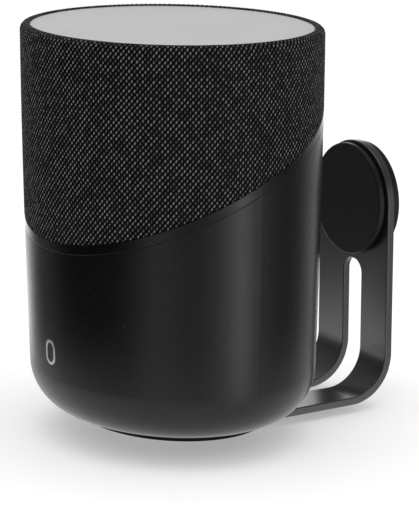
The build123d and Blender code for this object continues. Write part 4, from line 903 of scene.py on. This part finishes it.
@dataclass
class Studio:
    """Pale floor, soft lights, world and camera around the speaker."""

    form: BodyForm
    floor_gap: float = 0.001
    floor_side: float = 12.0
    azimuth_deg: float = 58.37
    distance: float = 1.47615
    camera_height: float = 0.4502
    yaw_offset_deg: float = -0.934
    pitch_deg: float = 13.316
    roll_deg: float = 0.166
    lens: float = 165.33
    sensor: float = 36.0
    paper: Colour = (0.72, 0.72, 0.72)
    paper_lift: float = 0.3
    near_glow: float = 0.9
    glow_near: float = 0.13
    glow_far: float = 0.34
    fill: float = 0.95
    sky_glow: float = 0.2
    card_scale: float = 4.0
    cards: tuple[tuple[float, float], ...] = (
        (-180.0, 0.4), (-150.0, 0.6), (-122.0, 2.2), (-95.0, 1.7), (-84.0, 0.2), (-72.0, 0.12),
        (-60.0, 0.24), (-48.0, 0.04), (-36.0, 0.0), (-15.0, 0.0), (4.0, 0.0), (18.0, 0.2),
        (30.0, 0.68), (44.0, 0.45), (60.0, 0.24), (80.0, 0.45), (95.0, 1.0), (105.0, 3.0),
        (117.0, 0.5), (136.0, 0.3), (156.0, 0.08), (180.0, 0.3),
    )
    boxes: tuple[SoftBox, ...] = (
        SoftBox("overhead", 40.0, 0.15, 1.5, 1.7, 1.5, 8.0),
    )

    def build(self) -> None:
        """Add floor, lights, world and camera."""
        self._floor()
        for box in self.boxes:
            box.build(self.form.centre(self.form.height / 2))
        self._world()
        self._camera()

    def _floor(self) -> None:
        """Lay the pale floor just under the lowest piece."""
        low = min(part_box(name)[0].z for name in frame["nodes"]) - self.floor_gap
        deselect_all()
        bpy.ops.mesh.primitive_grid_add(x_subdivisions=8, y_subdivisions=8, size=self.floor_side,
                                        location=(0.0, self.form.axis_y, low))
        floor = bpy.context.object
        floor.name = "studio_floor"
        settle(floor)
        floor.data.materials.append(self._floor_material())

    def _floor_material(self) -> bpy.types.Material:
        """White paper that shows in glossy reflections only close to the foot.

        Returns:
            The floor's material.
        """
        material = bpy.data.materials.new("studio_paper")
        material.use_nodes = True
        tree = material.node_tree
        tree.nodes.clear()
        out = tree.nodes.new("ShaderNodeOutputMaterial")
        paper = tree.nodes.new("ShaderNodeBsdfDiffuse")
        paper.inputs["Color"].default_value = (*self.paper, 1.0)
        lift = tree.nodes.new("ShaderNodeEmission")
        lift.inputs["Strength"].default_value = self.paper_lift
        lifted = tree.nodes.new("ShaderNodeAddShader")
        tree.links.new(paper.outputs[0], lifted.inputs[0])
        tree.links.new(lift.outputs[0], lifted.inputs[1])
        place = tree.nodes.new("ShaderNodeTexCoord").outputs["Object"]
        away = tree.nodes.new("ShaderNodeVectorMath")
        away.operation = "DISTANCE"
        away.inputs[1].default_value = (0.0, self.form.axis_y, self.form.foot_z)
        tree.links.new(place, away.inputs[0])
        glow = tree.nodes.new("ShaderNodeEmission")
        glow.inputs["Strength"].default_value = self.near_glow
        clear = tree.nodes.new("ShaderNodeBsdfTransparent")
        mirrored = tree.nodes.new("ShaderNodeMixShader")
        far = ShaderGroups.span(tree, away.outputs["Value"], self.glow_near, self.glow_far)
        tree.links.new(far, mirrored.inputs[0])
        tree.links.new(glow.outputs[0], mirrored.inputs[1])
        tree.links.new(clear.outputs[0], mirrored.inputs[2])
        path = tree.nodes.new("ShaderNodeLightPath")
        mix = tree.nodes.new("ShaderNodeMixShader")
        tree.links.new(path.outputs["Is Glossy Ray"], mix.inputs[0])
        tree.links.new(lifted.outputs[0], mix.inputs[1])
        tree.links.new(mirrored.outputs[0], mix.inputs[2])
        tree.links.new(mix.outputs[0], out.inputs["Surface"])
        return material

    def _world(self) -> None:
        """Light softly from all round, and show the reflector cards in glossy reflections."""
        world = bpy.data.worlds.new("studio")
        world.use_nodes = True
        bpy.context.scene.world = world
        tree = world.node_tree
        background = tree.nodes["Background"]
        background.inputs["Color"].default_value = (1.0, 1.0, 1.0, 1.0)
        way = tree.nodes.new("ShaderNodeSeparateXYZ")
        tree.links.new(tree.nodes.new("ShaderNodeTexCoord").outputs["Generated"], way.inputs[0])
        ahead = ShaderGroups.maths(tree, "MULTIPLY", way.outputs["Y"], -1.0)
        angle = ShaderGroups.maths(tree, "ARCTAN2", way.outputs["X"], ahead)
        turn = ShaderGroups.maths(tree, "MULTIPLY_ADD", angle, 0.5 / math.pi, 0.5)
        ramp = tree.nodes.new("ShaderNodeValToRGB")
        ramp.color_ramp.interpolation = "B_SPLINE"
        steps = ramp.color_ramp.elements
        first, last = self.cards[0], self.cards[-1]
        steps[0].color = (*(first[1] / self.card_scale,) * 3, 1.0)
        steps[1].color = (*(last[1] / self.card_scale,) * 3, 1.0)
        for azimuth, glow in self.cards[1:-1]:
            step = steps.new(azimuth / 360.0 + 0.5)
            step.color = (*(glow / self.card_scale,) * 3, 1.0)
        tree.links.new(turn, ramp.inputs["Fac"])
        cards = ShaderGroups.maths(tree, "MULTIPLY", ramp.outputs["Color"], self.card_scale)
        raised = ShaderGroups.span(tree, way.outputs["Z"], 0.2, 0.5, 0.0, 1.0)
        lower = ShaderGroups.maths(tree, "SUBTRACT", 1.0, raised)
        carded = ShaderGroups.maths(tree, "MULTIPLY", cards, lower)
        shown = ShaderGroups.maths(tree, "MULTIPLY_ADD", raised, self.sky_glow, carded)
        glossy = tree.nodes.new("ShaderNodeLightPath").outputs["Is Glossy Ray"]
        matt = ShaderGroups.maths(tree, "SUBTRACT", 1.0, glossy)
        mirrored = ShaderGroups.maths(tree, "MULTIPLY", shown, glossy)
        strength = ShaderGroups.maths(tree, "MULTIPLY_ADD", matt, self.fill, mirrored)
        tree.links.new(strength, background.inputs["Strength"])

    def _camera(self) -> None:
        """Place the camera at the viewing angle."""
        data = bpy.data.cameras.new("camera")
        data.lens, data.sensor_width, data.clip_end = self.lens, self.sensor, 50.0
        camera = bpy.data.objects.new("camera", data)
        turn = math.radians(self.azimuth_deg)
        yaw = turn + math.radians(self.yaw_offset_deg)
        pitch, roll = math.radians(self.pitch_deg), math.radians(self.roll_deg)
        ahead = Vector((-math.sin(yaw) * math.cos(pitch), math.cos(yaw) * math.cos(pitch),
                        -math.sin(pitch)))
        right = Vector((math.cos(yaw), math.sin(yaw), 0.0))
        above = right.cross(ahead)
        tilted_right = right * math.cos(roll) + above * math.sin(roll)
        tilted_above = above * math.cos(roll) - right * math.sin(roll)
        stand = self.form.centre(self.camera_height)
        stand += Vector((math.sin(turn), -math.cos(turn), 0.0)) * self.distance
        matrix = Matrix((tilted_right, tilted_above, -ahead)).transposed().to_4x4()
        camera.matrix_world = Matrix.Translation(stand) @ matrix
        bpy.context.scene.collection.objects.link(camera)
        bpy.context.scene.camera = camera


# ---------------------------------------------------------------- the frame's own pieces
@dataclass
class FrameDresser:
    """Gives each piece of the frame whose slot has a listed finish its material."""

    maker: MaterialMaker

    def dress(self) -> None:
        """Dress each node whose slot has a listed finish with that finish; other nodes are left as
        they are.
        """
        slots = {row["node"]: row["material_slot"] for row in frame["record"]["subparts"]}
        finishes = {finish.slot: finish for finish in FINISHES}
        made: dict[str, bpy.types.Material] = {}
        for name, piece in frame["nodes"].items():
            slot = slots[name]
            if slot not in finishes:
                continue
            if slot not in made:
                made[slot] = self.maker.make(finishes[slot])
            piece.data.materials.clear()
            piece.data.materials.append(made[slot])
            log.info("dressed %s as %s", name, slot)


def main() -> None:
    """Build the dressed speaker and its studio in order."""
    logging.basicConfig(level=logging.INFO, format="%(message)s")
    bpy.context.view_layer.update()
    form = BodyForm()
    maker = MaterialMaker(ShaderGroups())
    FrameDresser(maker).dress()
    grille = GrilleCloth(form)
    cloth = grille.build()
    grille.dress(cloth, maker)
    log.info("cloth: %d faces", len(cloth.data.polygons))
    Studio(form).build()
    bpy.context.scene.view_settings.view_transform = "Standard"


if __name__ == "__main__":
    main()
